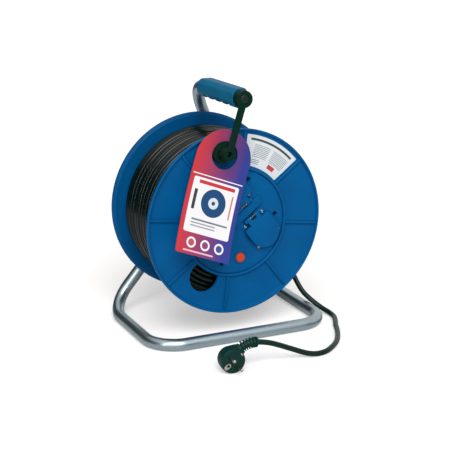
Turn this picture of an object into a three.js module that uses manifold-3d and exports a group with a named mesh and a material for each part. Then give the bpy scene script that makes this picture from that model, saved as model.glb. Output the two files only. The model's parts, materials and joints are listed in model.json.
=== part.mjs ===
// Extension cord reel: a bent tube stand carries a moulded drum that turns on the tube's own
// end. The drum is two cores, each with its hub web, and two flanges. The drum holds three lidded sockets, a thermal reset button and a winding
// knob; the stand has a grip and a transport lock arm. Millimetres, +Z up, front is -Y.
// The origin is on the floor, under the middle of the stand.
import * as THREE from 'three';
import { mergeVertices } from 'three/addons/utils/BufferGeometryUtils.js';
import Module from 'manifold-3d';

const wasm = await Module();
wasm.setup();

// ---------------------------------------------------------------- driving dimensions
const seatGap = 0.3;           // between two pieces that seat on each other
const pressGap = 0.15;         // half of the gap where the drum halves meet
const runningGap = 0.5;        // round the axle

// stand
const tubeRadius = 9.5;
const tubeWall = 1.5;
const tubeSides = 16;
const tubeBoreSides = 8;
const bendRadius = 47;
const stepsPerBend = 4;
const standWidth = 290;        // between the side rails' centrelines
const legPlane = 100;          // Y of the legs behind the drum
const frontBar = -100;         // Y of the front bar's centreline
const axleHeight = 180;
const handleHeight = 370;      // tube centreline at the rear of the handle
const handleX = 2;
const handleRise = 1.07;       // degrees, towards the front
const handleReach = 184;       // from the leg plane to the tube's end
const axleReach = 53;          // tube's end in front of the drum's middle

// handle
const gripStart = 48;
const capHold = 6;             // tube's end inside the cap, past the grip
const gripWidth = 27;
const gripTop = 14.5;
const gripBottom = 15;
const fingerPitch = 25;
const fingerRadius = 22;
const fingerDepth = 2.6;
const capRadius = 13.2;
const capFront = 3;
const capEdge = 1;             // bevel of the cap's rims
const armThickness = 5.5;
const armLength = 84;
const armTilt = 17.3;          // degrees from straight down, towards the drum's left
const armDiscRadius = 13;
const armWidth = 10;
const armEyeRadius = 10;
const armEyeHole = 4;
const armBevel = 0.8;
const pivotRadius = 3;
const pivotHeadRadius = 6.7;
const pivotHeadDepth = 2.5;
const pivotHold = 12;          // shank's length inside the tube
const pivotEdge = 0.7;

// drum
const drumMiddle = 10;         // Y of the drum's middle plane
const drumTurn = 7.3;          // degrees, how far the drum stands turned
const flangeRadius = 145;
const drumHalfWidth = 76.8;    // to the rim bead's outer plane
const flangeInner = 68;        // flange's cable side
const flangeThickness = 4;
const rimWidth = 6;
const barrelWall = 3;
const socketClearance = 3.1;   // between the sockets and the barrel's bore
const rimRound = 1.5;
const rimDraft = 0.6;
const ribCount = 8;
const ribWidth = 5;
const ribRise = 3.2;
const ringWidth = 4.4;         // raised ring round the panel
const ringTop = 76.6;
const webThickness = 3;
const frontWeb = 16;           // distance of each web from the middle plane
const rearWeb = 31;
const drumSegments = 32;
const hubSegments = 20;
const smallSegments = 12;
const boltSegments = 10;
const socketSegments = 26;
const windowRadius = 24;
const windowOrbit = 96.5;
const windowLand = 4.6;        // flat left between the window and the panel's ring
const windowAngle = -115;      // degrees in the drum, anticlockwise from +X
const joinInset = 19;          // join bolts' axes inside the barrel's bore
const joinPostRadius = 5;
const joinBoltRadius = 1.9;
const joinHeadRadius = 4.6;
const joinHeadHeight = 3;
const stiffenerCount = 8;
const stiffenerHeight = 12;
const stiffenerWidth = 2.4;
const stiffenerStart = 29;     // their inner end's distance from the axis

// hub
const bushWall = 2.3;
const sleeveWall = 2.2;
const sleeveRear = 37;         // from the middle plane, behind
const sleeveFront = 46;        // from the middle plane, in front
const bushLength = 12;
const bushFlange = 2;
const collarWall = 3;          // of the webs' hub collars
const collarFront = 5;
const collarBack = 4;
const stopLength = 3;
const washerThickness = 1.5;
const axleCapWall = 2.6;

// socket panel
const panelLip = 1.7;          // panel's edge outside the barrel
const panelFace = 74;
const panelThickness = 3;
const barLength = 108;
const barWidth = 14;
const barRise = 3.5;
const wellRadius = 19.75;
const insertWall = 1.55;
const insertEdge = 0.6;
const wellDepth = 17.5;
const socketRise = 6.3;        // socket's mouth in front of the panel
const socketDepth = 38;        // socket's body behind the panel's face
const contactHoleRadius = 2.8;
const contactHoleDepth = 18;
const contactSpacing = 19;
const clipWidth = 4.4;
const clipThickness = 1.2;
const screwInset = 8.8;        // panel screws' axes inside the barrel's bore
const screwAngle = 33.3;       // degrees from the hinge bar
const screwPostRadius = 4.5;
const screwHeadRadius = 3.1;
const screwRadius = 1.6;
const screwLength = 14;
const screwCupDepth = 9;

// socket lids
const lidMargin = 2.7;         // lid's edge outside the socket
const lidSpacing = 1.5;        // half of the gap between neighbouring lids
const lidTabHalfWidth = 11.75;
const lidBevel = 1.2;
const lidCurve = 8;
const lidThickness = 1.8;
const lidTop = 82.2;
const hingeReach = 4.5;        // hinge axis from the bar's side
const shoulderReach = 10.5;    // lid's shoulder from the hinge axis
const hingeLevel = 79;         // hinge axis from the drum's middle plane
const hingeBarrelRadius = 3.1;
const hingePinRadius = 1.25;
const knuckleLength = 3.4;
const springHalfLength = 4.3;
const springCoils = 3;
const springWire = 1.1;

// thermal cutout
const buttonColumn = -28.5;
const buttonRow = 51;
const buttonRadius = 7.5;
const buttonRise = 4;
const buttonTravel = 2.5;
const buttonFlange = 1.3;
const cutoutWidth = 22;
const cutoutDepth = 34;

// winding knob
const knobOrbit = 114.3;
const knobAngle = 108.9;
const knobBaseRadius = 16.7;
const knobBaseFront = 82;
const knobGripRadius = 10.5;
const knobFront = 97;
const knobBossTop = 80;
const knobPinRadius = 3;
const knobBossRadius = 6.4;

// cable
const cordRadius = 4.1;
const windingRadius = 127.5;
const windingBands = 5;        // groups of turns that show as ribs
const windingGroove = 3;
const cordSides = 8;
const cordSteps = 36;
const glandAngle = -60;
const glandPlace = 55;
const glandRadius = 6.5;
const glandLip = 1.6;
const glandLipHeight = 1;
const glandInside = 1.8;       // gland's end inside the barrel

// plug
const plugFaceRadius = 18.5;
const plugFaceDepth = 13;
const plugAxisDepth = 16;      // neck axis behind the pins' face
const plugCentre = [-74.2, -215.4];
const plugYaw = 4;             // degrees the face looks towards -X
const neckRise = 36;           // degrees the neck climbs
const neckLength = 23;
const neckRadius = 9;
const plugBackThickness = 10;
const reliefRibs = 6;
const reliefTaper = 0.9;
const ribHeight = 1.8;
const bootBevel = 4;
const pinRadius = 2.4;
const pinLength = 19;
const pinSpacing = 19;
const earthPlateWidth = 7;
const earthPlateLength = 11;
const earthPlateThickness = 1;
const earthPlateStart = 6;     // from the plug's axis, away from the neck
const earthHolePlace = 10;
const earthHoleRadius = 2.3;

// the free cable from the drum to the plug, chosen by hand along the floor
const cordRoute = [
  [132, 30, 181], [132.1, 29.5, 150], [133, 27, 120], [134.8, 22, 92], [137.6, 12, 68],
  [141.8, -1, 47], [147.5, -14, 31], [153.6, -25, 22.2], [160, -35, 15.5], [167, -46, 9.3],
  [172.5, -58, 5.4], [172, -74, 4.2], [163.5, -94, 4.2], [155, -110, 4.2], [146, -130, 4.2],
  [134.5, -152, 4.2], [119.5, -174, 4.2], [101, -192, 4.2], [84, -203.5, 4.2],
  [68, -206.5, 4.4], [56, -205, 6], [44, -203.5, 10], [31, -203.5, 15.8], [17, -204.2, 22.2],
  [3, -204.6, 28.4], [-9, -204.2, 33], [-20.5, -204.1, 36.2], [-31.4, -204.2, 38.2],
];

// ---------------------------------------------------------------- derived places
const halfTurn = Math.PI;
const boreRadius = tubeRadius + runningGap;
const snugBore = tubeRadius + runningGap - 0.1;
const sleeveBore = boreRadius + bushWall + seatGap;
const sleeveRadius = sleeveBore + sleeveWall;
const socketRadius = wellRadius + insertWall;
const lidHalfWidth = socketRadius + lidMargin;
const hingeLine = barWidth / 2 + hingeReach;             // hinge axis from the bar's centre line
const lidShoulder = hingeLine + shoulderReach;
const socketRow = lidShoulder + lidHalfWidth;            // socket centres from the bar's centre line
const socketColumn = lidHalfWidth + lidSpacing;          // socket centres from the drum's middle
const barrelBore = Math.hypot(socketColumn, socketRow) + socketRadius + socketClearance;
const barrelRadius = barrelBore + barrelWall;
const panelRadius = barrelRadius + panelLip;
const joinOrbit = barrelBore - joinInset;
const flangeFace = flangeInner + flangeThickness;
const panelBack = panelFace - panelThickness;
const ledge = panelBack - seatGap;
const panelSeat = panelRadius + seatGap * 2;
const gripLength = handleReach - capHold - gripStart;
const handleEnd = handleReach + seatGap + capFront;
const drumCentre = new THREE.Vector3(0, drumMiddle, axleHeight);

// ---------------------------------------------------------------- finishes
const bluePlastic = { color: 0x0f5c93, roughness: 0.42, metalness: 0 };
const blackPlastic = { color: 0x14201c, roughness: 0.5, metalness: 0 };
const cablePvc = { color: 0x13231d, roughness: 0.45, metalness: 0 };
const zincSteel = { color: 0xaab4c4, roughness: 0.25, metalness: 1 };
const nickelBrass = { color: 0xc8c8c0, roughness: 0.3, metalness: 1 };
const whitePlastic = { color: 0xdcdcd6, roughness: 0.5, metalness: 0 };
const orangePlastic = { color: 0xd8522a, roughness: 0.35, metalness: 0 };

// ---------------------------------------------------------------- working helpers
const radians = THREE.MathUtils.degToRad;

/** A geometry with shared corners merged and the triangles that collapse on an axis dropped. */
function welded(geometry) {
  const bare = geometry.clone();
  bare.deleteAttribute('normal');
  bare.deleteAttribute('uv');
  const merged = mergeVertices(bare, 1e-4);
  const corners = merged.index.array;
  const kept = [];
  for (let i = 0; i < corners.length; i += 3) {
    const [a, b, c] = corners.slice(i, i + 3);
    if (a !== b && b !== c && c !== a) kept.push(a, b, c);
  }
  merged.setIndex(kept);
  return merged;
}

/** A closed geometry as a solid that can be joined and cut. */
function solid(geometry) {
  const merged = welded(geometry);
  return new wasm.Manifold(new wasm.Mesh({
    numProp: 3,
    vertProperties: new Float32Array(merged.attributes.position.array),
    triVerts: new Uint32Array(merged.index.array),
  }));
}

/** A joined or cut solid back as a geometry. */
function geometryOf(body) {
  const mesh = body.getMesh();
  const geometry = new THREE.BufferGeometry();
  geometry.setAttribute('position', new THREE.BufferAttribute(mesh.vertProperties, 3));
  geometry.setIndex(new THREE.BufferAttribute(mesh.triVerts, 1));
  geometry.computeVertexNormals();
  return geometry;
}

/** Joins the first geometry to the others and cuts the second list out of it. */
function shaped(base, joins, cuts) {
  let body = solid(base);
  for (const join of joins) body = body.add(solid(join));
  for (const cut of cuts) body = body.subtract(solid(cut));
  return geometryOf(body);
}

/** A closed loop of [radius, distance in front of the middle plane] turned round the Y axis. */
function revolved(loop, segments) {
  const points = loop.map(([radius, out]) => new THREE.Vector2(radius, -out));
  if (THREE.ShapeUtils.isClockWise(points)) points.reverse();
  points.push(points[0].clone());
  return welded(new THREE.LatheGeometry(points, segments));
}

/** A shape drawn as seen from the front, filled from low to high in front of the middle plane. */
function slab(shape, low, high, bevel = 0, curveSegments = 12) {
  const geometry = new THREE.ExtrudeGeometry(shape, {
    depth: high - low - 2 * bevel,
    bevelEnabled: bevel > 0,
    bevelSize: bevel,
    bevelThickness: bevel,
    bevelOffset: -bevel,
    bevelSegments: 1,
    curveSegments,
  });
  geometry.translate(0, 0, low + bevel);
  return geometry.rotateX(halfTurn / 2);
}

/** A cylinder along the drum's axis. */
function post(radius, low, high, x, z, sides = smallSegments) {
  const geometry = new THREE.CylinderGeometry(radius, radius, high - low, sides);
  return geometry.translate(x, -(low + high) / 2, z);
}

/** A rectangle as a shape, from two corners. */
function rectangle(left, bottom, right, top) {
  return new THREE.Shape([
    new THREE.Vector2(left, bottom), new THREE.Vector2(right, bottom),
    new THREE.Vector2(right, top), new THREE.Vector2(left, top),
  ]);
}

/** A point of the drum's face from its radius and its angle in degrees. */
function polar(radius, angle) {
  return [radius * Math.cos(radians(angle)), radius * Math.sin(radians(angle))];
}

/** A point of the socket panel from its column and row: rows run down to the right at 45 degrees. */
function panelPoint(column, row) {
  const half = Math.SQRT1_2;
  return [(column + row) * half, (column - row) * half];
}

/** Adds one named piece to a group. */
function piece(group, name, geometry, finish) {
  const mesh = new THREE.Mesh(geometry, new THREE.MeshStandardMaterial(finish));
  mesh.name = name;
  group.add(mesh);
  return mesh;
}

// ---------------------------------------------------------------- stand
/** A path of straight runs joined by round bends, with sections only where it bends. */
class BentTubePath extends THREE.Curve {
  constructor(corners, radius, steps, levelCorner) {
    super();
    this.stations = [];
    this.directions = [];
    this.addStation(corners[0], corners[1].clone().sub(corners[0]).normalize());
    for (let i = 1; i < corners.length - 1; i += 1) {
      if (i === levelCorner) this.levelStation = this.stations.length;
      this.addBend(corners[i - 1], corners[i], corners[i + 1], radius, steps);
    }
    const last = corners.length - 1;
    this.addStation(corners[last], corners[last].clone().sub(corners[last - 1]).normalize());
  }

  addStation(point, direction) {
    this.stations.push(point.clone());
    this.directions.push(direction.clone());
  }

  addBend(before, corner, after, radius, steps) {
    const arriving = corner.clone().sub(before).normalize();
    const leaving = after.clone().sub(corner).normalize();
    const angle = arriving.angleTo(leaving);
    const setBack = radius * Math.tan(angle / 2);
    const axis = arriving.clone().cross(leaving).normalize();
    const start = corner.clone().addScaledVector(arriving, -setBack);
    const inward = axis.clone().cross(arriving).normalize();
    const centre = start.clone().addScaledVector(inward, radius);
    for (let i = 0; i <= steps; i += 1) {
      const turn = (angle * i) / steps;
      const spoke = start.clone().sub(centre).applyAxisAngle(axis, turn);
      this.addStation(spoke.add(centre), arriving.clone().applyAxisAngle(axis, turn));
    }
  }

  stationAt(u) {
    return Math.round(u * (this.stations.length - 1));
  }

  getPoint(t, target = new THREE.Vector3()) {
    return target.copy(this.stations[this.stationAt(t)]);
  }

  getPointAt(u, target) {
    return this.getPoint(u, target);
  }

  getTangentAt(u, target = new THREE.Vector3()) {
    return target.copy(this.directions[this.stationAt(u)]);
  }

  /** The usual frames, turned so that the floor loop's section stands square to the floor. */
  computeFrenetFrames(segments) {
    const frames = super.computeFrenetFrames(segments, false);
    const up = new THREE.Vector3(0, 0, 1);
    const level = this.levelStation;
    const turn = Math.atan2(up.dot(frames.binormals[level]), up.dot(frames.normals[level]));
    frames.tangents.forEach((tangent, i) => {
      frames.normals[i].applyAxisAngle(tangent, turn);
      frames.binormals[i].applyAxisAngle(tangent, turn);
    });
    return frames;
  }
}

/** A regular polygon whose flats stand at the given radius, one of them facing down. */
function flatSidedRing(radius, sides) {
  const corner = radius / Math.cos(halfTurn / sides);
  return Array.from({ length: sides }, (_, i) => {
    const angle = ((i + 0.5) / sides) * 2 * halfTurn;
    return new THREE.Vector2(corner * Math.cos(angle), corner * Math.sin(angle));
  });
}

function standTube() {
  const floor = tubeRadius;
  const side = standWidth / 2;
  const rise = radians(handleRise);
  const corners = [
    new THREE.Vector3(0, drumMiddle - axleReach, axleHeight),
    new THREE.Vector3(0, legPlane, axleHeight),
    new THREE.Vector3(-side, legPlane, floor),
    new THREE.Vector3(-side, frontBar, floor),
    new THREE.Vector3(side, frontBar, floor),
    new THREE.Vector3(side, legPlane, floor),
    new THREE.Vector3(handleX, legPlane, handleHeight),
    new THREE.Vector3(
      handleX,
      legPlane - handleReach * Math.cos(rise),
      handleHeight + handleReach * Math.sin(rise),
    ),
  ];
  const path = new BentTubePath(corners, bendRadius, stepsPerBend, 4);
  const section = new THREE.Shape(flatSidedRing(tubeRadius, tubeSides));
  section.holes.push(new THREE.Path(flatSidedRing(tubeRadius - tubeWall, tubeBoreSides)));
  return new THREE.ExtrudeGeometry(section, {
    extrudePath: path,
    steps: path.stations.length - 1,
    bevelEnabled: false,
  });
}

// ---------------------------------------------------------------- handle
/** The grip: a side outline with finger hollows, met by a rounded cross-section. */
function grip() {
  const rear = gripStart;
  const front = gripStart + gripLength;
  const outline = new THREE.Shape();
  outline.moveTo(rear, -tubeRadius - 1.5);
  outline.quadraticCurveTo(rear, gripTop - 2, rear + 16, gripTop);
  outline.lineTo(front - 2, gripTop);
  outline.lineTo(front, gripTop - 2);
  outline.lineTo(front, -gripBottom + 2);
  outline.lineTo(front - 2, -gripBottom);
  outline.lineTo(rear + 8, -gripBottom);
  outline.closePath();
  const side = new THREE.ExtrudeGeometry(outline, {
    depth: gripWidth, bevelEnabled: false, curveSegments: 6,
  });
  side.translate(0, 0, -gripWidth / 2);
  side.rotateX(halfTurn / 2);
  side.rotateZ(-halfTurn / 2);

  const half = gripWidth / 2;
  const section = new THREE.Shape();
  section.moveTo(-half + 6, gripTop);
  section.lineTo(half - 6, gripTop);
  section.lineTo(half, gripTop - 7);
  section.lineTo(half, -gripBottom + 9);
  section.quadraticCurveTo(half, -gripBottom, half - 9, -gripBottom);
  section.lineTo(-half + 9, -gripBottom);
  section.quadraticCurveTo(-half, -gripBottom, -half, -gripBottom + 9);
  section.lineTo(-half, gripTop - 7);
  section.closePath();
  const along = slab(section, rear - 1, front + 1, 0, 5);

  let body = solid(side).intersect(solid(along));
  body = body.subtract(solid(post(tubeRadius + seatGap * 2, rear - 2, front + 2, 0, 0, hubSegments)));
  const fingers = Math.floor((gripLength - fingerPitch) / fingerPitch);
  const firstFinger = rear + (gripLength - (fingers - 1) * fingerPitch) / 2;
  for (let i = 0; i < fingers; i += 1) {
    const hollow = new THREE.CylinderGeometry(fingerRadius, fingerRadius, gripWidth + 2, 40);
    hollow.rotateZ(halfTurn / 2);
    const centre = -gripBottom + fingerDepth - fingerRadius;
    hollow.translate(0, -(firstFinger + i * fingerPitch), centre);
    body = body.subtract(solid(hollow));
  }
  return geometryOf(body);
}

/** The collar on the tube's end, with a blind bore for the tube and a hole for the pivot. */
function handleCap() {
  const back = gripStart + gripLength + seatGap;
  const bore = tubeRadius + seatGap * 2;
  const floor = handleReach + seatGap;
  const hole = pivotRadius + seatGap;
  return revolved([
    [bore, back], [capRadius, back], [capRadius, handleEnd - capEdge],
    [capRadius - capEdge, handleEnd], [hole, handleEnd], [hole, floor], [bore, floor],
  ], hubSegments);
}

/** The lock arm: a round boss, a straight bar and an eye, hanging in front of the knob. */
function lockArm() {
  const outline = new THREE.Shape();
  const half = armWidth / 2;
  const boss = Math.asin(half / armDiscRadius);
  const eye = Math.asin(half / armEyeRadius);
  outline.absarc(0, 0, armDiscRadius, -halfTurn / 2 + boss, 1.5 * halfTurn - boss, false);
  outline.absarc(0, -armLength, armEyeRadius, halfTurn / 2 + eye, 2.5 * halfTurn - eye, false);
  outline.closePath();
  const holes = [[0, pivotRadius + seatGap], [-armLength, armEyeHole]];
  for (const [z, radius] of holes) {
    const hole = new THREE.Path();
    hole.absarc(0, z, radius, 0, 2 * halfTurn, true);
    outline.holes.push(hole);
  }
  const back = handleEnd + seatGap;
  const front = back + armThickness;
  const arm = slab(outline, back, front, armBevel, 7);
  const headSeat = front - pivotHeadDepth - seatGap;
  return shaped(arm, [], [post(pivotHeadRadius + seatGap, headSeat, front + 1, 0, 0, hubSegments)]);
}

/** The arm's pivot: a flush round head and a shank that runs into the cap and the tube. */
function armPivot() {
  const front = handleEnd + seatGap + armThickness;
  const shoulder = front - pivotHeadDepth;
  return revolved([
    [0, handleReach - pivotHold], [pivotRadius, handleReach - pivotHold],
    [pivotRadius, shoulder], [pivotHeadRadius, shoulder], [pivotHeadRadius, front - pivotEdge],
    [pivotHeadRadius - pivotEdge, front], [0, front],
  ], smallSegments);
}

// ---------------------------------------------------------------- drum halves
/** A flange as a closed loop; mouth runs from its face to the barrel's bore. */
function flangeProfile(mouth) {
  const rim = flangeRadius - rimWidth;
  return [
    [barrelBore, flangeInner], [flangeRadius, flangeInner],
    [flangeRadius, drumHalfWidth - rimRound], [flangeRadius - rimRound, drumHalfWidth],
    [rim + rimRound, drumHalfWidth], [rim, drumHalfWidth - rimRound], [rim - rimDraft, flangeFace],
    ...mouth,
  ];
}

/** Half of the barrel with its hub web and the web's collar, as a closed loop. */
function coreProfile(web) {
  const collar = sleeveRadius + seatGap;
  const face = web + webThickness;
  const end = flangeInner - seatGap;
  return [
    [barrelRadius, pressGap], [barrelRadius, end], [barrelBore, end], [barrelBore, face],
    [collar + collarWall, face], [collar + collarWall, face + collarFront],
    [collar, face + collarFront], [collar, web - collarBack], [collar + collarWall, web - collarBack],
    [collar + collarWall, web], [barrelBore, web], [barrelBore, pressGap],
  ];
}

/** Radial ribs on a flange's face; the face is in front of the middle plane. */
function flangeRibs() {
  const inner = panelSeat + ringWidth - 0.5;
  const outer = flangeRadius - rimWidth;
  return Array.from({ length: ribCount }, (_, i) => {
    const shape = rectangle(inner, -ribWidth / 2, outer, ribWidth / 2);
    const rib = slab(shape, flangeFace - 1.5, flangeFace + ribRise, 1.2);
    return rib.rotateY((2 * halfTurn * i) / ribCount);
  });
}

function joinPosts(web) {
  const posts = [];
  const holes = [];
  for (let i = 0; i < 4; i += 1) {
    const [x, z] = polar(joinOrbit, i * 90);
    posts.push(post(joinPostRadius, pressGap, web + 1, x, z));
    holes.push(post(joinBoltRadius + seatGap, -1, web + webThickness + 1, x, z, boltSegments));
  }
  return { posts, holes };
}

/** The front flange: a ring round the panel's seat, ribs, the knob's boss and the window. */
function frontFlange() {
  const mouth = [
    [panelSeat + ringWidth, flangeFace], [panelSeat + ringWidth - rimDraft, ringTop - rimRound],
    [panelSeat + ringWidth - rimRound, ringTop], [panelSeat + rimRound, ringTop],
    [panelSeat, ringTop - rimRound], [panelSeat, ledge], [barrelBore, ledge],
  ];
  const base = revolved(flangeProfile(mouth), drumSegments);
  const [bossX, bossZ] = polar(knobOrbit, knobAngle);
  const boss = post(knobBossRadius, flangeFace - 1, knobBossTop, bossX, bossZ);
  const pinHole = post(knobPinRadius + seatGap, flangeInner + 1, knobBaseFront, bossX, bossZ);
  const [windowX, windowZ] = polar(windowOrbit, windowAngle);
  const land = panelSeat + windowLand;
  const through = post(windowRadius, flangeInner - 2, drumHalfWidth, windowX, windowZ, hubSegments + 4);
  const window = solid(through)
    .subtract(solid(post(land, flangeInner - 3, drumHalfWidth + 1, 0, 0, drumSegments)));
  return shaped(base, [...flangeRibs(), boss], [pinHole, geometryOf(window)]);
}

/** The front core, with the posts for the panel's screws and a fin from each to the barrel. */
function frontCore() {
  const { posts, holes } = joinPosts(frontWeb);
  const root = frontWeb + 1;
  const screwFloor = panelFace - screwCupDepth;
  for (const [x, z] of screwPlaces()) {
    posts.push(post(screwPostRadius, root, screwFloor - 3, x, z));
    const inner = Math.hypot(x, z) + screwPostRadius - 1.5;
    const fin = slab(
      rectangle(inner, -stiffenerWidth / 2, barrelBore + 1, stiffenerWidth / 2), root, screwFloor - 8,
    );
    posts.push(fin.rotateY(-Math.atan2(z, x)));
    const pilot = screwFloor - screwLength - 4;
    holes.push(post(screwRadius + seatGap, pilot, screwFloor, x, z, boltSegments));
  }
  return shaped(revolved(coreProfile(frontWeb), drumSegments), posts, [...holes, glandBore()]);
}

/** The rear flange is the front one without a panel, turned about the drum's height. */
function rearFlange() {
  const lip = ringTop - 1;
  const mouth = [
    [barrelRadius + ringWidth, flangeFace], [barrelRadius + ringWidth - rimDraft, lip - rimRound],
    [barrelRadius + ringWidth - rimRound, lip], [barrelBore, lip],
  ];
  return shaped(revolved(flangeProfile(mouth), drumSegments), flangeRibs(), []).rotateZ(halfTurn);
}

/** The rear core, with low fins across its web. */
function rearCore() {
  const { posts, holes } = joinPosts(rearWeb);
  const root = rearWeb + 1;
  const half = stiffenerWidth / 2;
  const fins = Array.from({ length: stiffenerCount }, (_, i) => {
    const outline = rectangle(stiffenerStart, -half, barrelBore + 1, half);
    const fin = slab(outline, root, rearWeb + webThickness + stiffenerHeight);
    return fin.rotateY((2 * halfTurn * (i + 0.5)) / stiffenerCount);
  });
  const base = revolved(coreProfile(rearWeb), drumSegments);
  return shaped(base, [...posts, ...fins], holes).rotateZ(halfTurn);
}

/** The bore through the barrel's wall for the cable gland. */
function glandBore() {
  const bore = new THREE.CylinderGeometry(glandRadius + seatGap, glandRadius + seatGap, 12, smallSegments);
  return placedAtGland(bore, barrelRadius);
}

function placedAtGland(geometry, radius) {
  geometry.rotateZ(-halfTurn / 2);
  geometry.translate(radius, -glandPlace, 0);
  return geometry.rotateY(-radians(glandAngle));
}

/** The gland: a flanged bush from outside the barrel to inside its bore. */
function cableGland() {
  const bore = cordRadius + seatGap;
  const length = barrelWall + glandInside - seatGap;
  const foot = barrelBore - glandInside;
  const ring = revolved([
    [bore, 0], [glandRadius + glandLip, 0], [glandRadius + glandLip, -glandLipHeight],
    [glandRadius, -glandLipHeight], [glandRadius, -length], [bore, -length],
  ], smallSegments);
  return placedAtGland(ring, foot);
}

// ---------------------------------------------------------------- hub
function hubSleeve() {
  return revolved([
    [sleeveBore, -sleeveRear], [sleeveRadius, -sleeveRear],
    [sleeveRadius, sleeveFront], [sleeveBore, sleeveFront],
  ], hubSegments);
}

/** A flanged bush; end is the sleeve's end and way is +1 in front and -1 behind. */
function hubBush(end, way) {
  const bore = boreRadius;
  const outer = bore + bushWall;
  const lip = end + seatGap;
  const loop = [
    [bore, end - bushLength], [outer, end - bushLength], [outer, lip], [sleeveRadius, lip],
    [sleeveRadius, lip + bushFlange], [bore, lip + bushFlange],
  ];
  return revolved(loop.map(([radius, out]) => [radius, way * out]), hubSegments);
}

function stopCollar() {
  const start = sleeveRear + seatGap * 2 + bushFlange;
  const end = start + stopLength;
  return revolved([
    [snugBore, -start], [sleeveRadius, -start], [sleeveRadius, -end], [snugBore, -end],
  ], hubSegments);
}

function axleWasher() {
  const start = sleeveFront + seatGap * 2 + bushFlange;
  return revolved([
    [snugBore, start], [sleeveRadius, start],
    [sleeveRadius, start + washerThickness], [snugBore, start + washerThickness],
  ], hubSegments);
}

/** The push-on cap that closes the tube's end and keeps the drum on. */
function axleCap() {
  const start = sleeveFront + bushFlange + washerThickness + seatGap * 3;
  const floor = axleReach + seatGap;
  const end = floor + axleCapWall;
  const outer = snugBore + axleCapWall;
  return revolved([
    [snugBore, start], [outer, start], [outer, end - capEdge], [outer - capEdge, end],
    [0, end], [0, floor], [snugBore, floor],
  ], hubSegments);
}

// ---------------------------------------------------------------- socket panel
function screwPlaces() {
  const [column, row] = polar(barrelBore - screwInset, screwAngle);
  return [[1, 1], [1, -1], [-1, -1], [-1, 1]].map(([a, b]) => panelPoint(a * column, b * row));
}

/** The three sockets: where each one's centre line meets the bar and which way it lies. */
const socketModules = [
  { name: 'right', column: socketColumn, angle: -45 },
  { name: 'top', column: socketColumn, angle: 135 },
  { name: 'left', column: -socketColumn, angle: 135 },
];

/** Moves a geometry drawn with the hinge bar along Z and the socket towards +X to its module. */
function atModule(geometry, module) {
  const [x, z] = panelPoint(module.column, 0);
  return geometry.rotateY(-radians(module.angle)).translate(x, 0, z);
}

function hingeKnuckles(module) {
  const level = hingeLevel;
  const reach = hingeBarrelRadius;
  return [1, -1].flatMap((side) => {
    const inner = lidTabHalfWidth + seatGap;
    const outline = new THREE.Shape();
    outline.moveTo(hingeLine - reach, panelFace - 1);
    outline.lineTo(hingeLine + reach, panelFace - 1);
    outline.lineTo(hingeLine + reach, level);
    outline.absarc(hingeLine, level, reach, 0, halfTurn, false);
    outline.closePath();
    const block = new THREE.ExtrudeGeometry(outline, {
      depth: knuckleLength, bevelEnabled: false, curveSegments: 4,
    });
    block.rotateX(halfTurn);
    const middle = side > 0 ? inner + knuckleLength : -inner;
    block.translate(0, 0, middle);
    return [atModule(block, module)];
  });
}

/** A cylinder along the hinge axis, drawn with the hinge bar along Z. */
function hingeCylinder(radius, halfLength, sides) {
  const cylinder = new THREE.CylinderGeometry(radius, radius, 2 * halfLength, sides);
  return cylinder.rotateX(halfTurn / 2).translate(hingeLine, -hingeLevel, 0);
}

function hingeRod(radius, halfLength, module) {
  return atModule(hingeCylinder(radius, halfLength, boltSegments), module);
}

function socketPanel() {
  const disc = new THREE.Shape();
  disc.absarc(0, 0, panelRadius, 0, 2 * halfTurn, false);
  const base = slab(disc, panelBack, panelFace, 0.8, drumSegments / 2);
  const quarter = halfTurn / 4;
  const bar = slab(
    rectangle(-barLength / 2, -barWidth / 2, barLength / 2, barWidth / 2),
    panelFace - 1.5, panelFace + barRise, 1.2,
  ).rotateY(-quarter);
  const joins = [bar];
  const cuts = [];
  for (const module of socketModules) {
    joins.push(...hingeKnuckles(module));
    cuts.push(hingeRod(hingePinRadius + seatGap, lidTabHalfWidth + 6, module));
    const hole = post(socketRadius + seatGap + 0.1, panelBack - 1, panelFace + 1, socketRow, 0, socketSegments);
    cuts.push(atModule(hole, module));
  }
  for (const [x, z] of screwPlaces()) {
    const floor = panelFace - screwCupDepth;
    joins.push(post(screwHeadRadius + 2, floor - 2, panelBack + 1, x, z));
    cuts.push(post(screwHeadRadius + 0.5, floor, panelFace + 1, x, z, boltSegments));
    cuts.push(post(screwRadius + seatGap, floor - 3, floor + 1, x, z, boltSegments));
  }
  const [buttonX, buttonZ] = panelPoint(buttonColumn, buttonRow);
  joins.push(post(buttonRadius + 3, panelFace - 1, panelFace + 1.5, buttonX, buttonZ, hubSegments));
  cuts.push(post(buttonRadius + 0.5, panelBack - 1, panelFace + 3, buttonX, buttonZ, hubSegments));
  return shaped(base, joins, cuts);
}

/** A socket insert: a round well with two contact holes and two slots for the earth clips. */
function socketInsert(module) {
  const front = panelFace + socketRise;
  const floor = front - wellDepth;
  const back = panelFace - socketDepth;
  const body = revolved([
    [0, back], [socketRadius, back], [socketRadius, front - insertEdge],
    [socketRadius - insertEdge, front], [wellRadius, front], [wellRadius, floor], [0, floor],
  ], socketSegments);
  body.translate(socketRow, 0, 0);
  const cuts = [];
  for (const side of [1, -1]) {
    const z = (side * contactSpacing) / 2;
    cuts.push(post(contactHoleRadius, floor - contactHoleDepth, floor + 1, socketRow, z, boltSegments));
    const slotMiddle = socketRow + side * earthClipOrbit();
    const halfSlot = clipThickness / 2 + seatGap;
    const halfWide = clipWidth / 2 + seatGap;
    const slot = rectangle(slotMiddle - halfSlot, -halfWide, slotMiddle + halfSlot, halfWide);
    cuts.push(slab(slot, back - 1, floor + 1));
  }
  return atModule(shaped(body, [], cuts), module);
}

function earthClipOrbit() {
  return wellRadius - clipThickness / 2 - seatGap * 2;
}

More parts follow.
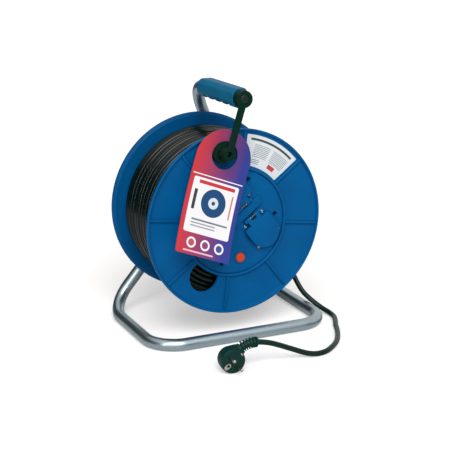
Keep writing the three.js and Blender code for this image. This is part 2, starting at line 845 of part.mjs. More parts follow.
/** The earth bracket: one strip behind the insert with an arm up each side of the well. */
function earthBracket(module) {
  const back = panelFace - socketDepth - seatGap;
  const tip = panelFace + socketRise - 5;
  const outer = earthClipOrbit() + clipThickness / 2;
  const inner = outer - clipThickness;
  const outline = new THREE.Shape([
    new THREE.Vector2(-outer, back - clipThickness), new THREE.Vector2(outer, back - clipThickness),
    new THREE.Vector2(outer, tip - 2), new THREE.Vector2(outer - 0.6, tip),
    new THREE.Vector2(inner - 0.8, tip - 1.4), new THREE.Vector2(inner, tip - 4),
    new THREE.Vector2(inner, back),
    new THREE.Vector2(-inner, back),
    new THREE.Vector2(-inner, tip - 4), new THREE.Vector2(-inner + 0.8, tip - 1.4),
    new THREE.Vector2(-outer + 0.6, tip), new THREE.Vector2(-outer, tip - 2),
  ]);
  const strip = new THREE.ExtrudeGeometry(outline, { depth: clipWidth, bevelEnabled: false });
  strip.translate(0, 0, -clipWidth / 2);
  strip.rotateX(halfTurn);
  strip.translate(socketRow, 0, 0);
  return atModule(strip, module);
}

// ---------------------------------------------------------------- socket lids
/** The lid's outline: a straight-sided flap with a round end; inset draws it smaller. */
function lidOutline(inset) {
  const half = lidHalfWidth - inset;
  const outline = new THREE.Shape();
  outline.moveTo(lidShoulder + inset, half);
  outline.lineTo(lidShoulder + inset, -half);
  outline.lineTo(socketRow, -half);
  outline.absarc(socketRow, 0, half, -halfTurn / 2, halfTurn / 2, false);
  outline.closePath();
  return outline;
}

function socketLid(module) {
  const under = lidTop - lidThickness;
  const skirtFoot = panelFace + seatGap;
  const barrelHalf = lidTabHalfWidth;
  const plate = slab(lidOutline(0), under - lidBevel, lidTop, lidBevel, lidCurve);
  const skirt = slab(lidOutline(0), skirtFoot, lidTop - lidBevel, 0, lidCurve);
  const hollow = slab(lidOutline(lidThickness), skirtFoot - 1, under, 0, lidCurve);
  const tabTop = lidTop - 0.1;
  const tab = slab(rectangle(hingeLine, -barrelHalf, lidShoulder + 2, barrelHalf), under - 0.6, tabTop);
  const barrel = hingeCylinder(hingeBarrelRadius, barrelHalf, smallSegments);
  let body = solid(plate).add(solid(skirt)).add(solid(tab)).add(solid(barrel));
  body = body.subtract(solid(hollow));
  const notch = springHalfLength + seatGap;
  const notchEnd = hingeLine + hingeBarrelRadius + 1;
  body = body.subtract(solid(slab(rectangle(0, -notch, notchEnd, notch), panelFace, lidTop + 1)));
  const bore = hingeCylinder(hingePinRadius + seatGap, barrelHalf + 1, boltSegments);
  return atModule(geometryOf(body.subtract(solid(bore))), module);
}

/** The lid's return spring, as a closed stack of coils round the pin. */
function lidSpring(module) {
  const bore = hingePinRadius + seatGap;
  const pitch = (2 * springHalfLength) / springCoils;
  const loop = [[bore, -springHalfLength], [bore, springHalfLength]];
  for (let i = springCoils - 1; i >= 0; i -= 1) {
    const start = -springHalfLength + i * pitch;
    loop.push([bore + springWire, start + pitch * 0.8], [bore + springWire, start + pitch * 0.2]);
    if (i > 0) loop.push([bore + springWire * 0.5, start]);
  }
  const coil = revolved(loop, 8);
  coil.rotateX(halfTurn / 2);
  coil.translate(hingeLine, -hingeLevel, 0);
  return atModule(coil, module);
}

// ---------------------------------------------------------------- thermal cutout
function thermalButton() {
  const [x, z] = panelPoint(buttonColumn, buttonRow);
  const front = panelFace + buttonRise;
  const flange = panelBack - seatGap;
  const stem = 2;
  return revolved([
    [0, flange - 11], [stem, flange - 11], [stem, flange - 3], [buttonRadius + buttonFlange, flange - 3],
    [buttonRadius + buttonFlange, flange], [buttonRadius, flange], [buttonRadius, front - 2],
    [buttonRadius - 0.7, front - 0.7], [buttonRadius - 2, front], [0, front],
  ], hubSegments).translate(x, 0, z);
}

function thermalCutout() {
  const [x, z] = panelPoint(buttonColumn, buttonRow);
  const top = panelBack - seatGap;
  const half = cutoutWidth / 2;
  const body = slab(rectangle(-half, -half, half, half), top - cutoutDepth, top, 0);
  const guide = post(buttonRadius + buttonFlange + 0.5, top - 3 - buttonTravel - 1.5, top + 1, 0, 0, hubSegments);
  const stemHole = post(2.5, top - 11 - buttonTravel - 1.5, top, 0, 0, 14);
  return shaped(body, [], [guide, stemHole]).rotateY(-halfTurn / 4).translate(x, 0, z);
}

function panelScrew([x, z]) {
  const floor = panelFace - screwCupDepth + seatGap;
  return revolved([
    [0, floor - screwLength], [screwRadius, floor - screwLength + 1.5], [screwRadius, floor],
    [screwHeadRadius, floor], [screwHeadRadius, floor + 1.4], [screwHeadRadius - 1, floor + 2.2],
    [0, floor + 2.2],
  ], boltSegments).translate(x, 0, z);
}

function joinBolt(index) {
  const [x, z] = polar(joinOrbit, index * 90);
  const seat = -(rearWeb + webThickness + seatGap);
  const tip = frontWeb - 3;
  const bolt = shaped(
    post(joinBoltRadius, seat - 0.5, tip, x, z, boltSegments),
    [post(joinHeadRadius, seat - joinHeadHeight, seat, x, z, 6)],
    [],
  );
  return bolt;
}

// ---------------------------------------------------------------- winding knob
function windingKnob() {
  const [x, z] = polar(knobOrbit, knobAngle);
  const foot = flangeFace + seatGap * 2;
  const boss = knobBossRadius + seatGap;
  const bossTop = knobBossTop + seatGap;
  const headSeat = knobFront - 5;
  return revolved([
    [boss, foot], [knobBaseRadius - 1, foot], [knobBaseRadius, foot + 1],
    [knobBaseRadius, knobBaseFront - 1.2], [knobBaseRadius - 1.2, knobBaseFront],
    [knobGripRadius + 1.6, knobBaseFront], [knobGripRadius, knobBaseFront + 2],
    [knobGripRadius - 0.5, knobFront - 1.2], [knobGripRadius - 1.7, knobFront],
    [knobPinRadius + 2.3, knobFront], [knobPinRadius + 2.3, headSeat],
    [knobPinRadius + seatGap, headSeat], [knobPinRadius + seatGap, bossTop], [boss, bossTop],
  ], hubSegments).translate(x, 0, z);
}

function knobPin() {
  const [x, z] = polar(knobOrbit, knobAngle);
  const headSeat = knobFront - 5 + seatGap;
  return revolved([
    [0, flangeInner + 1 + seatGap], [knobPinRadius, flangeInner + 1 + seatGap],
    [knobPinRadius, headSeat], [knobPinRadius + 1.9, headSeat], [knobPinRadius + 1.9, headSeat + 1.6],
    [knobPinRadius + 0.9, headSeat + 2.4], [0, headSeat + 2.4],
  ], smallSegments).translate(x, 0, z);
}

// ---------------------------------------------------------------- cable
/** The wound cable's outer shape between the flanges, with a groove between its bands of turns. */
function windingRing() {
  const inner = barrelRadius + seatGap;
  const side = flangeInner - seatGap;
  const band = (2 * side) / windingBands;
  const loop = [[inner, -side], [windingRadius - windingGroove, -side]];
  for (let i = 0; i < windingBands; i += 1) {
    const start = -side + i * band;
    loop.push([windingRadius, start + windingGroove], [windingRadius, start + band - windingGroove]);
    loop.push([windingRadius - windingGroove, start + band]);
  }
  loop.push([inner, side]);
  return revolved(loop, drumSegments);
}

function cordPath() {
  return new THREE.CatmullRomCurve3(cordRoute.map((place) => new THREE.Vector3(...place)));
}

function cableTail() {
  const section = new THREE.Shape(flatSidedRing(cordRadius, cordSides));
  return new THREE.ExtrudeGeometry(section, {
    extrudePath: cordPath(), steps: cordSteps, bevelEnabled: false,
  });
}

/** Directions of the plug: where its pins point, where its neck goes and the line of its pins. */
function plugFrame() {
  const yaw = radians(plugYaw);
  const climb = radians(neckRise);
  const facing = new THREE.Vector3(-Math.sin(yaw), -Math.cos(yaw), 0);
  const along = new THREE.Vector3(Math.cos(yaw), -Math.sin(yaw), 0);
  const neck = along.clone().multiplyScalar(Math.cos(climb));
  neck.z = Math.sin(climb);
  return { facing, neck };
}

/** A group whose +Z looks out of the pins' face and whose +X runs along the neck. */
function plugGroup() {
  const { facing, neck } = plugFrame();
  const across = facing.clone().cross(neck);
  const group = new THREE.Group();
  group.quaternion.setFromRotationMatrix(new THREE.Matrix4().makeBasis(neck, across, facing));
  group.position.set(...plugCentre, plugFaceRadius + 0.2);
  return group;
}

/** A cylinder from low to high along a plug axis drawn as +Z. */
function rod(radius, low, high, sides) {
  const geometry = new THREE.CylinderGeometry(radius, radius, high - low, sides);
  geometry.rotateX(halfTurn / 2);
  return geometry.translate(0, 0, (low + high) / 2);
}

function plugBody() {
  const disc = rod(plugFaceRadius, -plugFaceDepth, 0, 24);
  const back = new THREE.Shape();
  const spread = Math.acos((plugFaceRadius - neckRadius) / neckLength);
  back.absarc(0, 0, plugFaceRadius - 0.6, spread, 2 * halfTurn - spread, false);
  back.lineTo(neckLength - 3, -neckRadius);
  back.lineTo(neckLength - 3, neckRadius);
  back.closePath();
  const boot = new THREE.ExtrudeGeometry(back, {
    depth: 2 * (plugBackThickness - bootBevel), bevelEnabled: true, bevelSize: bootBevel,
    bevelThickness: bootBevel, bevelOffset: -bootBevel, bevelSegments: 2, curveSegments: 10,
  });
  boot.translate(0, 0, -plugAxisDepth - plugBackThickness + bootBevel);
  const neck = rod(neckRadius - 0.4, 0, neckLength, 16);
  neck.rotateY(halfTurn / 2);
  neck.translate(0, 0, -plugAxisDepth);
  const cuts = [];
  for (const side of [1, -1]) {
    const hole = rod(pinRadius + seatGap, -8, 1, smallSegments);
    cuts.push(hole.translate(0, (side * pinSpacing) / 2, 0));
  }
  cuts.push(earthPlateBlank(seatGap, 1));
  cuts.push(rod(earthHoleRadius, -12, 1, smallSegments).translate(-earthHolePlace, 0, 0));
  return shaped(disc, [boot, neck], cuts);
}

/** The earth plate's block beside the earth hole, grown by a clearance. */
function earthPlateBlank(grow, above) {
  const start = -earthPlateStart + grow;
  const end = -earthPlateStart - earthPlateLength - grow;
  const half = earthPlateWidth / 2 + grow;
  const low = -earthPlateThickness - grow;
  const block = new THREE.ExtrudeGeometry(rectangle(end, -half, start, half), {
    depth: above - low, bevelEnabled: false,
  });
  return block.translate(0, 0, low);
}

function earthPlate() {
  const hole = rod(earthHoleRadius - 0.1, -3, 2, smallSegments);
  return shaped(earthPlateBlank(0, 0.2), [], [hole.translate(-earthHolePlace, 0, 0)]);
}

function plugPin(side) {
  const profile = [
    [0, -7.5], [pinRadius, -7.5], [pinRadius, pinLength - 1.2], [pinRadius - 1, pinLength], [0, pinLength],
  ];
  const pin = revolved(profile.map(([radius, out]) => [radius, -out]), smallSegments);
  pin.rotateX(halfTurn / 2);
  return pin.translate(0, (side * pinSpacing) / 2, 0);
}

/** Lays a geometry drawn along +Y on a curve that is nowhere upright. */
function laidAlong(geometry, curve, length) {
  const upright = new THREE.Vector3(0, 0, 1);
  const places = geometry.attributes.position;
  const place = new THREE.Vector3();
  for (let i = 0; i < places.count; i += 1) {
    place.fromBufferAttribute(places, i);
    const share = place.y / length;
    const tangent = curve.getTangent(share);
    const side = tangent.clone().cross(upright).normalize();
    const up = side.clone().cross(tangent);
    const moved = curve.getPoint(share).addScaledVector(side, place.x).addScaledVector(up, place.z);
    places.setXYZ(i, moved.x, moved.y, moved.z);
  }
  return geometry;
}

/** The strain relief: a tapered sleeve with ribs, bent from the plug's neck to the cable. */
function strainRelief(start, neck, end, way) {
  const length = start.distanceTo(end);
  const leaving = start.clone().addScaledVector(neck, length / 3);
  const arriving = end.clone().addScaledVector(way, length / 3);
  const curve = new THREE.CubicBezierCurve3(start, leaving, arriving, end);
  const pitch = length / reliefRibs;
  const loop = [[0, 0], [neckRadius - ribHeight, 0]];
  for (let i = 0; i < reliefRibs; i += 1) {
    const radius = neckRadius - 0.6 - (i * reliefTaper) / reliefRibs;
    const from = (i + 0.3) * pitch;
    const to = (i + 0.9) * pitch;
    loop.push([radius - ribHeight, from], [radius, from], [radius, to], [radius - ribHeight, to]);
  }
  loop.push([cordRadius + ribHeight, length], [0, length]);
  const sleeve = revolved(loop.map(([radius, out]) => [radius, -out]), smallSegments);
  return laidAlong(sleeve, curve, length);
}

// ---------------------------------------------------------------- assembly
const reel = new THREE.Group();

function addStand() {
  piece(reel, 'frame_tube', standTube(), zincSteel);
  const handle = new THREE.Group();
  handle.position.set(handleX, legPlane, handleHeight);
  handle.rotation.x = -radians(handleRise);
  reel.add(handle);
  piece(handle, 'handle_grip', grip(), bluePlastic);
  piece(handle, 'handle_cap', handleCap(), blackPlastic);
  piece(handle, 'lock_arm', lockArm(), blackPlastic).rotation.y = radians(armTilt);
  piece(handle, 'arm_pivot', armPivot(), zincSteel);
}

function addDrum() {
  const drum = new THREE.Group();
  drum.position.copy(drumCentre);
  drum.rotation.y = radians(drumTurn);
  reel.add(drum);
  piece(drum, 'front_flange', frontFlange(), bluePlastic);
  piece(drum, 'front_core', frontCore(), bluePlastic);
  piece(drum, 'rear_flange', rearFlange(), bluePlastic);
  piece(drum, 'rear_core', rearCore(), bluePlastic);
  piece(drum, 'hub_sleeve', hubSleeve(), whitePlastic);
  piece(drum, 'hub_bush_rear', hubBush(sleeveRear, -1), whitePlastic);
  piece(drum, 'hub_bush_front', hubBush(sleeveFront, 1), whitePlastic);
  piece(drum, 'socket_panel', socketPanel(), bluePlastic);
  for (const module of socketModules) {
    piece(drum, `socket_insert_${module.name}`, socketInsert(module), blackPlastic);
    piece(drum, `earth_bracket_${module.name}`, earthBracket(module), nickelBrass);
    piece(drum, `lid_${module.name}`, socketLid(module), bluePlastic);
    const pinHalf = lidTabHalfWidth + knuckleLength;
    piece(drum, `lid_pin_${module.name}`, hingeRod(hingePinRadius, pinHalf, module), zincSteel);
    piece(drum, `lid_spring_${module.name}`, lidSpring(module), zincSteel);
  }
  piece(drum, 'thermal_button', thermalButton(), orangePlastic);
  piece(drum, 'thermal_cutout', thermalCutout(), blackPlastic);
  screwPlaces().forEach((place, i) => {
    piece(drum, `panel_screw_${i + 1}`, panelScrew(place), zincSteel);
  });
  for (let i = 0; i < 4; i += 1) piece(drum, `drum_bolt_${i + 1}`, joinBolt(i), zincSteel);
  piece(drum, 'winding_knob', windingKnob(), blackPlastic);
  piece(drum, 'knob_pin', knobPin(), zincSteel);
  piece(drum, 'cable_winding', windingRing(), cablePvc);
  piece(drum, 'cable_gland', cableGland(), blackPlastic);
}

/** The collar, washer and cap that stay on the tube's end inside the drum. */
function addAxleFittings() {
  const axle = new THREE.Group();
  axle.position.copy(drumCentre);
  reel.add(axle);
  piece(axle, 'axle_collar', stopCollar(), blackPlastic);
  piece(axle, 'axle_washer', axleWasher(), zincSteel);
  piece(axle, 'axle_cap', axleCap(), blackPlastic);
}

function addCord() {
  piece(reel, 'cable_tail', cableTail(), cablePvc);
  const plug = plugGroup();
  reel.add(plug);
  piece(plug, 'plug_body', plugBody(), blackPlastic);
  piece(plug, 'plug_pin_upper', plugPin(1), nickelBrass);
  piece(plug, 'plug_pin_lower', plugPin(-1), nickelBrass);
  piece(plug, 'plug_earth_plate', earthPlate(), nickelBrass);
  plug.updateMatrixWorld(true);
  const start = new THREE.Vector3(neckLength + seatGap, 0, -plugAxisDepth).applyMatrix4(plug.matrixWorld);
  const way = cordPath().getTangent(1);
  const end = cordPath().getPoint(1).addScaledVector(way, 2 * seatGap);
  piece(reel, 'strain_relief', strainRelief(start, plugFrame().neck, end, way), blackPlastic);
}

addStand();
addDrum();
addAxleFittings();
addCord();

export default reel;
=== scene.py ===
"""Looks of an extension cord reel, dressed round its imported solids.

Lengths are in millimetres until a mesh is placed, and every placed mesh is in metres in the
reel's own frame: +Z up, the sockets towards -Y, the origin on the floor under the stand.
Distances called `out` are measured from the drum's middle plane towards the front.
"""

from __future__ import annotations

import json
import logging
import math
import random
from dataclasses import dataclass, field
from enum import Enum
from typing import Iterable, Sequence

import bmesh
import bpy
from mathutils import Matrix, Vector

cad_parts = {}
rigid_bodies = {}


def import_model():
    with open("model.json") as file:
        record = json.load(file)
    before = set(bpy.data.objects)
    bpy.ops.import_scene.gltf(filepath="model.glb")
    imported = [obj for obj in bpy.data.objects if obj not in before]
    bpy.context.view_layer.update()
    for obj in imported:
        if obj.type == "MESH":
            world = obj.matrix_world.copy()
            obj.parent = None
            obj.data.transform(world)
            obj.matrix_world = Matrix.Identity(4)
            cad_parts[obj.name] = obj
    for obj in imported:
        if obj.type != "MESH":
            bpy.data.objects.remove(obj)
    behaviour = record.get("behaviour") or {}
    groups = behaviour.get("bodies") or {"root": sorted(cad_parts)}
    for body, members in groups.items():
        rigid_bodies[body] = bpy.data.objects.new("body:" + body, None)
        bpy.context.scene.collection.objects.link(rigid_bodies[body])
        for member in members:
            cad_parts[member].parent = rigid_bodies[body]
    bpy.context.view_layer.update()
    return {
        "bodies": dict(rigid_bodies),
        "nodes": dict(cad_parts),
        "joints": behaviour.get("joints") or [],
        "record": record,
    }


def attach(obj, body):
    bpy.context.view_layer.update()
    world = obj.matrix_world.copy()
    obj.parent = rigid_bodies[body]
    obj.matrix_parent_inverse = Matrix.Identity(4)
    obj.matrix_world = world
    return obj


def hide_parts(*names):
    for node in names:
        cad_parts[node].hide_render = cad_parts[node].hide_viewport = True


LOG = logging.getLogger("reel")

Mesh = bpy.types.Mesh
Socket = bpy.types.NodeSocket
Point2 = tuple[float, float]
Colour = tuple[float, float, float]

METRES = 0.001  # in a millimetre
MILLIMETRES = Matrix.Scale(METRES, 4)
DRUM_CENTRE = Vector((0.0, 10.0, 180.0))
DRUM_TURN = 7.3  # degrees, as the drum stands in the photograph
HANDLE_START = Vector((2.0, 100.0, 370.0))
HANDLE_RISE = 1.07  # degrees
SEAT_GAP = 0.3
FLANGE_FACE = 72.0  # out
PANEL_FACE = 74.0  # out
KNOB_ORBIT, KNOB_ANGLE = 114.3, 108.9
SOCKET_COLUMN, SOCKET_ROW = 25.5, 46.0
SCREW_COLUMN, SCREW_ROW = 57.0, 37.5
BUTTON_SPOT = (-28.5, 51.0)  # column and row
CONTACT_REACH = 9.5  # half the distance between two contacts
CABLE_RADIUS = 4.1
LAMP_AIM = Vector((0.0, 0.0, 0.17))  # metres


class Body(str, Enum):
    """The moving bodies that pieces ride on."""

    STAND = "stand"
    ARM = "arm"
    DRUM = "drum"
    LID_RIGHT = "lid_right"
    LID_TOP = "lid_top"
    LID_LEFT = "lid_left"
    BUTTON = "button"
    KNOB = "knob"


class Slot(str, Enum):
    """The record's material slots."""

    BLUE = "blue_plastic"
    BLACK = "black_plastic"
    CABLE = "cable"
    STEEL = "zinc_steel"
    NICKEL = "nickel_brass"
    WHITE = "white_plastic"
    ORANGE = "orange_plastic"


def turned(degrees: float, axis: str) -> Matrix:
    """Rotation by an angle in degrees about 'X', 'Y' or 'Z'."""
    return Matrix.Rotation(math.radians(degrees), 4, axis)


def across(x: float, z: float) -> Matrix:
    """A move over the drum's face."""
    return Matrix.Translation((x, 0.0, z))


AXLE_PLACE = MILLIMETRES @ Matrix.Translation(DRUM_CENTRE)
DRUM_PLACE = AXLE_PLACE @ turned(DRUM_TURN, "Y")
HANDLE_PLACE = MILLIMETRES @ Matrix.Translation(HANDLE_START) @ turned(-HANDLE_RISE, "X")
ROOT_PLACE = MILLIMETRES


# ------------------------------------------------------------------------- outlines


def polar(radius: float, degrees: float) -> Point2:
    """A point from its radius and its angle, anticlockwise from +X as seen from the front."""
    return radius * math.cos(math.radians(degrees)), radius * math.sin(math.radians(degrees))


def panel_point(column: float, row: float) -> Point2:
    """A point of the drum's face, from a column along the hinge bar and a row across it."""
    half = math.sqrt(0.5)
    return (column + row) * half, (column - row) * half


def panel_screws() -> list[Point2]:
    """Places of the four panel screws in the drum's face."""
    signs = ((1, 1), (1, -1), (-1, -1), (-1, 1))
    return [panel_point(a * SCREW_COLUMN, b * SCREW_ROW) for a, b in signs]


def arc(centre: Point2, radius: float, start: float, end: float, steps: int) -> list[Point2]:
    """Points of an arc, both ends included.

    Args:
        centre: The arc's centre.
        radius: Its radius.
        start: First angle in degrees.
        end: Last angle in degrees.
        steps: Number of chords.

    Returns:
        The points in order.
    """
    points = []
    for i in range(steps + 1):
        x, z = polar(radius, start + (end - start) * i / steps)
        points.append((centre[0] + x, centre[1] + z))
    return points


def circle(centre: Point2, radius: float, steps: int = 64) -> list[Point2]:
    """A closed round outline."""
    return arc(centre, radius, 0.0, 360.0 * (steps - 1) / steps, steps - 1)


def rectangle(left: float, low: float, right: float, high: float) -> list[Point2]:
    """A closed rectangular outline."""
    return [(left, low), (right, low), (right, high), (left, high)]


def cross(reach: float, half: float) -> list[Point2]:
    """The closed outline of a screw's cross recess.

    Args:
        reach: Length of each arm from the middle.
        half: Half the arm's width.

    Returns:
        Its corners.
    """
    quarter = [(reach, -half), (reach, half), (half, half)]
    corners = []
    for _ in range(4):
        corners += quarter
        quarter = [(-z, x) for x, z in quarter]
    return corners


def rounded(points: Sequence[Point2], radius: float, steps: int = 4) -> list[Point2]:
    """Rounds the corners of a closed outline, except those on the axis.

    Args:
        points: Corners in order.
        radius: Wanted radius, made smaller where the sides are short.
        steps: Chords in each corner.

    Returns:
        The rounded outline.
    """
    result: list[Point2] = []
    count = len(points)
    for i, point in enumerate(points):
        corner = Vector(point)
        back = Vector(points[i - 1]) - corner
        ahead = Vector(points[(i + 1) % count]) - corner
        if abs(point[0]) < 1e-6 or back.length < 1e-6 or ahead.length < 1e-6:
            result.append(point)
            continue
        angle = back.angle(ahead)
        if angle > math.radians(172.0):
            result.append(point)
            continue
        reach = min(radius / math.tan(angle / 2), 0.45 * back.length, 0.45 * ahead.length)
        true_radius = reach * math.tan(angle / 2)
        middle = (back.normalized() + ahead.normalized()).normalized()
        centre = corner + middle * (true_radius / math.sin(angle / 2))
        first = corner + back.normalized() * reach - centre
        last = corner + ahead.normalized() * reach - centre
        start = math.atan2(first.y, first.x)
        swing = math.atan2(first.x * last.y - first.y * last.x, first.dot(last))
        for k in range(steps + 1):
            at = start + swing * k / steps
            result.append(
                (centre.x + true_radius * math.cos(at), centre.y + true_radius * math.sin(at))
            )
    return result


def quarter_round(share: float) -> float:
    """What a quarter circle still has to climb, from 1 to 0, at a share of its way."""
    return 1.0 - math.sqrt(max(0.0, 1.0 - (1.0 - share) ** 2))


# ------------------------------------------------------------------------- mesh tools


def finished(bm: bmesh.types.BMesh, weld: float = 1e-4) -> Mesh:
    """Welds a working mesh, points its faces outwards and returns it as mesh data.

    Args:
        bm: The working mesh, which is freed.
        weld: Distance below which corners are joined.

    Returns:
        New mesh data.
    """
    bmesh.ops.remove_doubles(bm, verts=bm.verts, dist=weld)
    bmesh.ops.recalc_face_normals(bm, faces=bm.faces)
    mesh = bpy.data.meshes.new("form")
    bm.to_mesh(mesh)
    bm.free()
    return mesh


def lathe(
    profile: Sequence[Point2], steps: int, edge: float = 0.0, fineness: int = 3
) -> Mesh:
    """Turns a closed loop of (radius, out) round the drum's axis.

    Args:
        profile: The loop; points at radius 0 lie on the axis.
        steps: Number of facets round the axis.
        edge: Radius that its corners are rounded to.
        fineness: Chords in each corner.

    Returns:
        Mesh data in millimetres.
    """
    if edge:
        profile = rounded(profile, edge, fineness)
    bm = bmesh.new()
    rings = []
    for radius, out in profile:
        if radius < 1e-6:
            rings.append([bm.verts.new((0.0, -out, 0.0))])
            continue
        ring = []
        for i in range(steps):
            x, z = polar(radius, 360.0 * i / steps)
            ring.append(bm.verts.new((x, -out, z)))
        rings.append(ring)
    for low, high in zip(rings, rings[1:] + rings[:1]):
        if len(low) == 1 and len(high) == 1:
            continue
        for i in range(steps):
            j = (i + 1) % steps
            if len(low) == 1:
                bm.faces.new((low[0], high[i], high[j]))
            elif len(high) == 1:
                bm.faces.new((low[i], low[j], high[0]))
            else:
                bm.faces.new((low[i], low[j], high[j], high[i]))
    return finished(bm)


def linked(name: str, data: bpy.types.ID) -> bpy.types.Object:
    """A new object in the scene.

    Args:
        name: Its name.
        data: Its mesh, camera or lamp.

    Returns:
        The object.
    """
    made = bpy.data.objects.new(name, data)
    bpy.context.scene.collection.objects.link(made)
    return made


def evaluated(obj: bpy.types.Object) -> Mesh:
    """Applies an object's modifiers and removes the object.

    Args:
        obj: An object that is in no collection.

    Returns:
        Its finished mesh data.
    """
    bpy.context.scene.collection.objects.link(obj)
    graph = bpy.context.evaluated_depsgraph_get()
    mesh = bpy.data.meshes.new_from_object(obj.evaluated_get(graph))
    bpy.data.objects.remove(obj)
    return mesh


def plate(
    outlines: Sequence[Sequence[Point2]],
    low: float,
    high: float,
    edge: float = 0.0,
    steps: int = 2,
) -> Mesh:
    """A flat piece seen from the front, with holes and rounded edges.

    Args:
        outlines: The outer outline and its holes.
        low: Distance of its back from the middle plane.
        high: Distance of its face.
        edge: Radius of its edges.
        steps: Fineness of the edges.

    Returns:
        Mesh data in millimetres.
    """
    curve = bpy.data.curves.new("outline", "CURVE")
    curve.dimensions = "2D"
    curve.fill_mode = "BOTH"
    for outline in outlines:
        spline = curve.splines.new("POLY")
        spline.points.add(len(outline) - 1)
        for point, (x, z) in zip(spline.points, outline):
            point.co = (x, z, 0.0, 1.0)
        spline.use_cyclic_u = True
    curve.extrude = (high - low) / 2 - edge
    curve.bevel_depth = edge
    curve.bevel_resolution = steps
    curve.offset = -edge
    mesh = evaluated(bpy.data.objects.new("outline", curve))
    mesh.transform(turned(90.0, "X") @ Matrix.Translation((0.0, 0.0, (low + high) / 2)))
    bm = bmesh.new()
    bm.from_mesh(mesh)
    return finished(bm)


def sweep(
    route: Sequence[Vector], radii: Sequence[float] | float, sides: int = 24
) -> Mesh:
    """A round bar or hose along a route, closed at both ends.

    Args:
        route: Points of the centreline.
        radii: One radius, or one for each point.
        sides: Facets round the section.

    Returns:
        Mesh data in the route's units.
    """
    count = len(route)
    sizes = [radii] * count if isinstance(radii, (int, float)) else list(radii)
    bm = bmesh.new()
    rings = []
    across = Vector((0.0, 0.0, 1.0))
    for i, (point, size) in enumerate(zip(route, sizes)):
        along = (route[min(i + 1, count - 1)] - route[max(i - 1, 0)]).normalized()
        across = across - along * across.dot(along)
        if across.length < 1e-3:
            across = along.orthogonal()
        across.normalize()
        side = along.cross(across)
        rings.append([
            bm.verts.new(
                point
                + across * (size * math.cos(2 * math.pi * k / sides))
                + side * (size * math.sin(2 * math.pi * k / sides))
            )
            for k in range(sides)
        ])
    for low, high in zip(rings, rings[1:]):
        for k in range(sides):
            j = (k + 1) % sides
            bm.faces.new((low[k], low[j], high[j], high[k]))
    bm.faces.new(rings[0])
    bm.faces.new(list(reversed(rings[-1])))
    return finished(bm, 1e-6)


def loft(rings: Sequence[Sequence[Vector]]) -> Mesh:
    """A skin over closed rings with as many points each, closed at both ends.

    Args:
        rings: The rings in order.

    Returns:
        Mesh data in the rings' units.
    """
    bm = bmesh.new()
    made = [[bm.verts.new(point) for point in ring] for ring in rings]
    for low, high in zip(made, made[1:]):
        for k in range(len(low)):
            j = (k + 1) % len(low)
            bm.faces.new((low[k], low[j], high[j], high[k]))
    bm.faces.new(made[0])
    bm.faces.new(list(reversed(made[-1])))
    return finished(bm)


def moved(mesh: Mesh, matrix: Matrix) -> Mesh:
    """The same mesh data after a move, for use inside a longer expression."""
    mesh.transform(matrix)
    return mesh


def joined(meshes: Iterable[Mesh]) -> Mesh:
    """Several meshes as one, without cutting them.

    Args:
        meshes: The meshes in order.

    Returns:
        New mesh data.
    """
    bm = bmesh.new()
    for mesh in meshes:
        bm.from_mesh(mesh)
    mesh = bpy.data.meshes.new("form")
    bm.to_mesh(mesh)
    bm.free()
    return mesh


def cut(mesh: Mesh, tool: Mesh) -> Mesh:
    """A mesh with another one taken out of it.

    Args:
        mesh: The mesh.
        tool: What is taken out.

    Returns:
        New mesh data.
    """
    base = bpy.data.objects.new("base", mesh)
    knife = linked("knife", tool)
    modifier = base.modifiers.new("cut", "BOOLEAN")
    modifier.operation = "DIFFERENCE"
    modifier.solver = "EXACT"
    modifier.object = knife
    result = evaluated(base)
    bpy.data.objects.remove(knife)
    return result


def cylinder(
    radius: float, low: float, high: float, centre: Point2 = (0.0, 0.0), steps: int = 48
) -> Mesh:
    """A plain round bar along the drum's axis, with edges left sharp."""
    mesh = lathe([(0.0, low), (radius, low), (radius, high), (0.0, high)], steps)
    return moved(mesh, across(*centre))


# ------------------------------------------------------------------------- finishes


def linear(colour: Colour) -> tuple[float, float, float, float]:
    """An sRGB colour in 0..255 as the linear colour that shaders use.

    Args:
        colour: The sRGB colour.

    Returns:
        Red, green, blue and an alpha of 1.
    """
    parts = []
    for value in colour:
        share = value / 255.0
        parts.append(share / 12.92 if share <= 0.04045 else ((share + 0.055) / 1.055) ** 2.4)
    return parts[0], parts[1], parts[2], 1.0


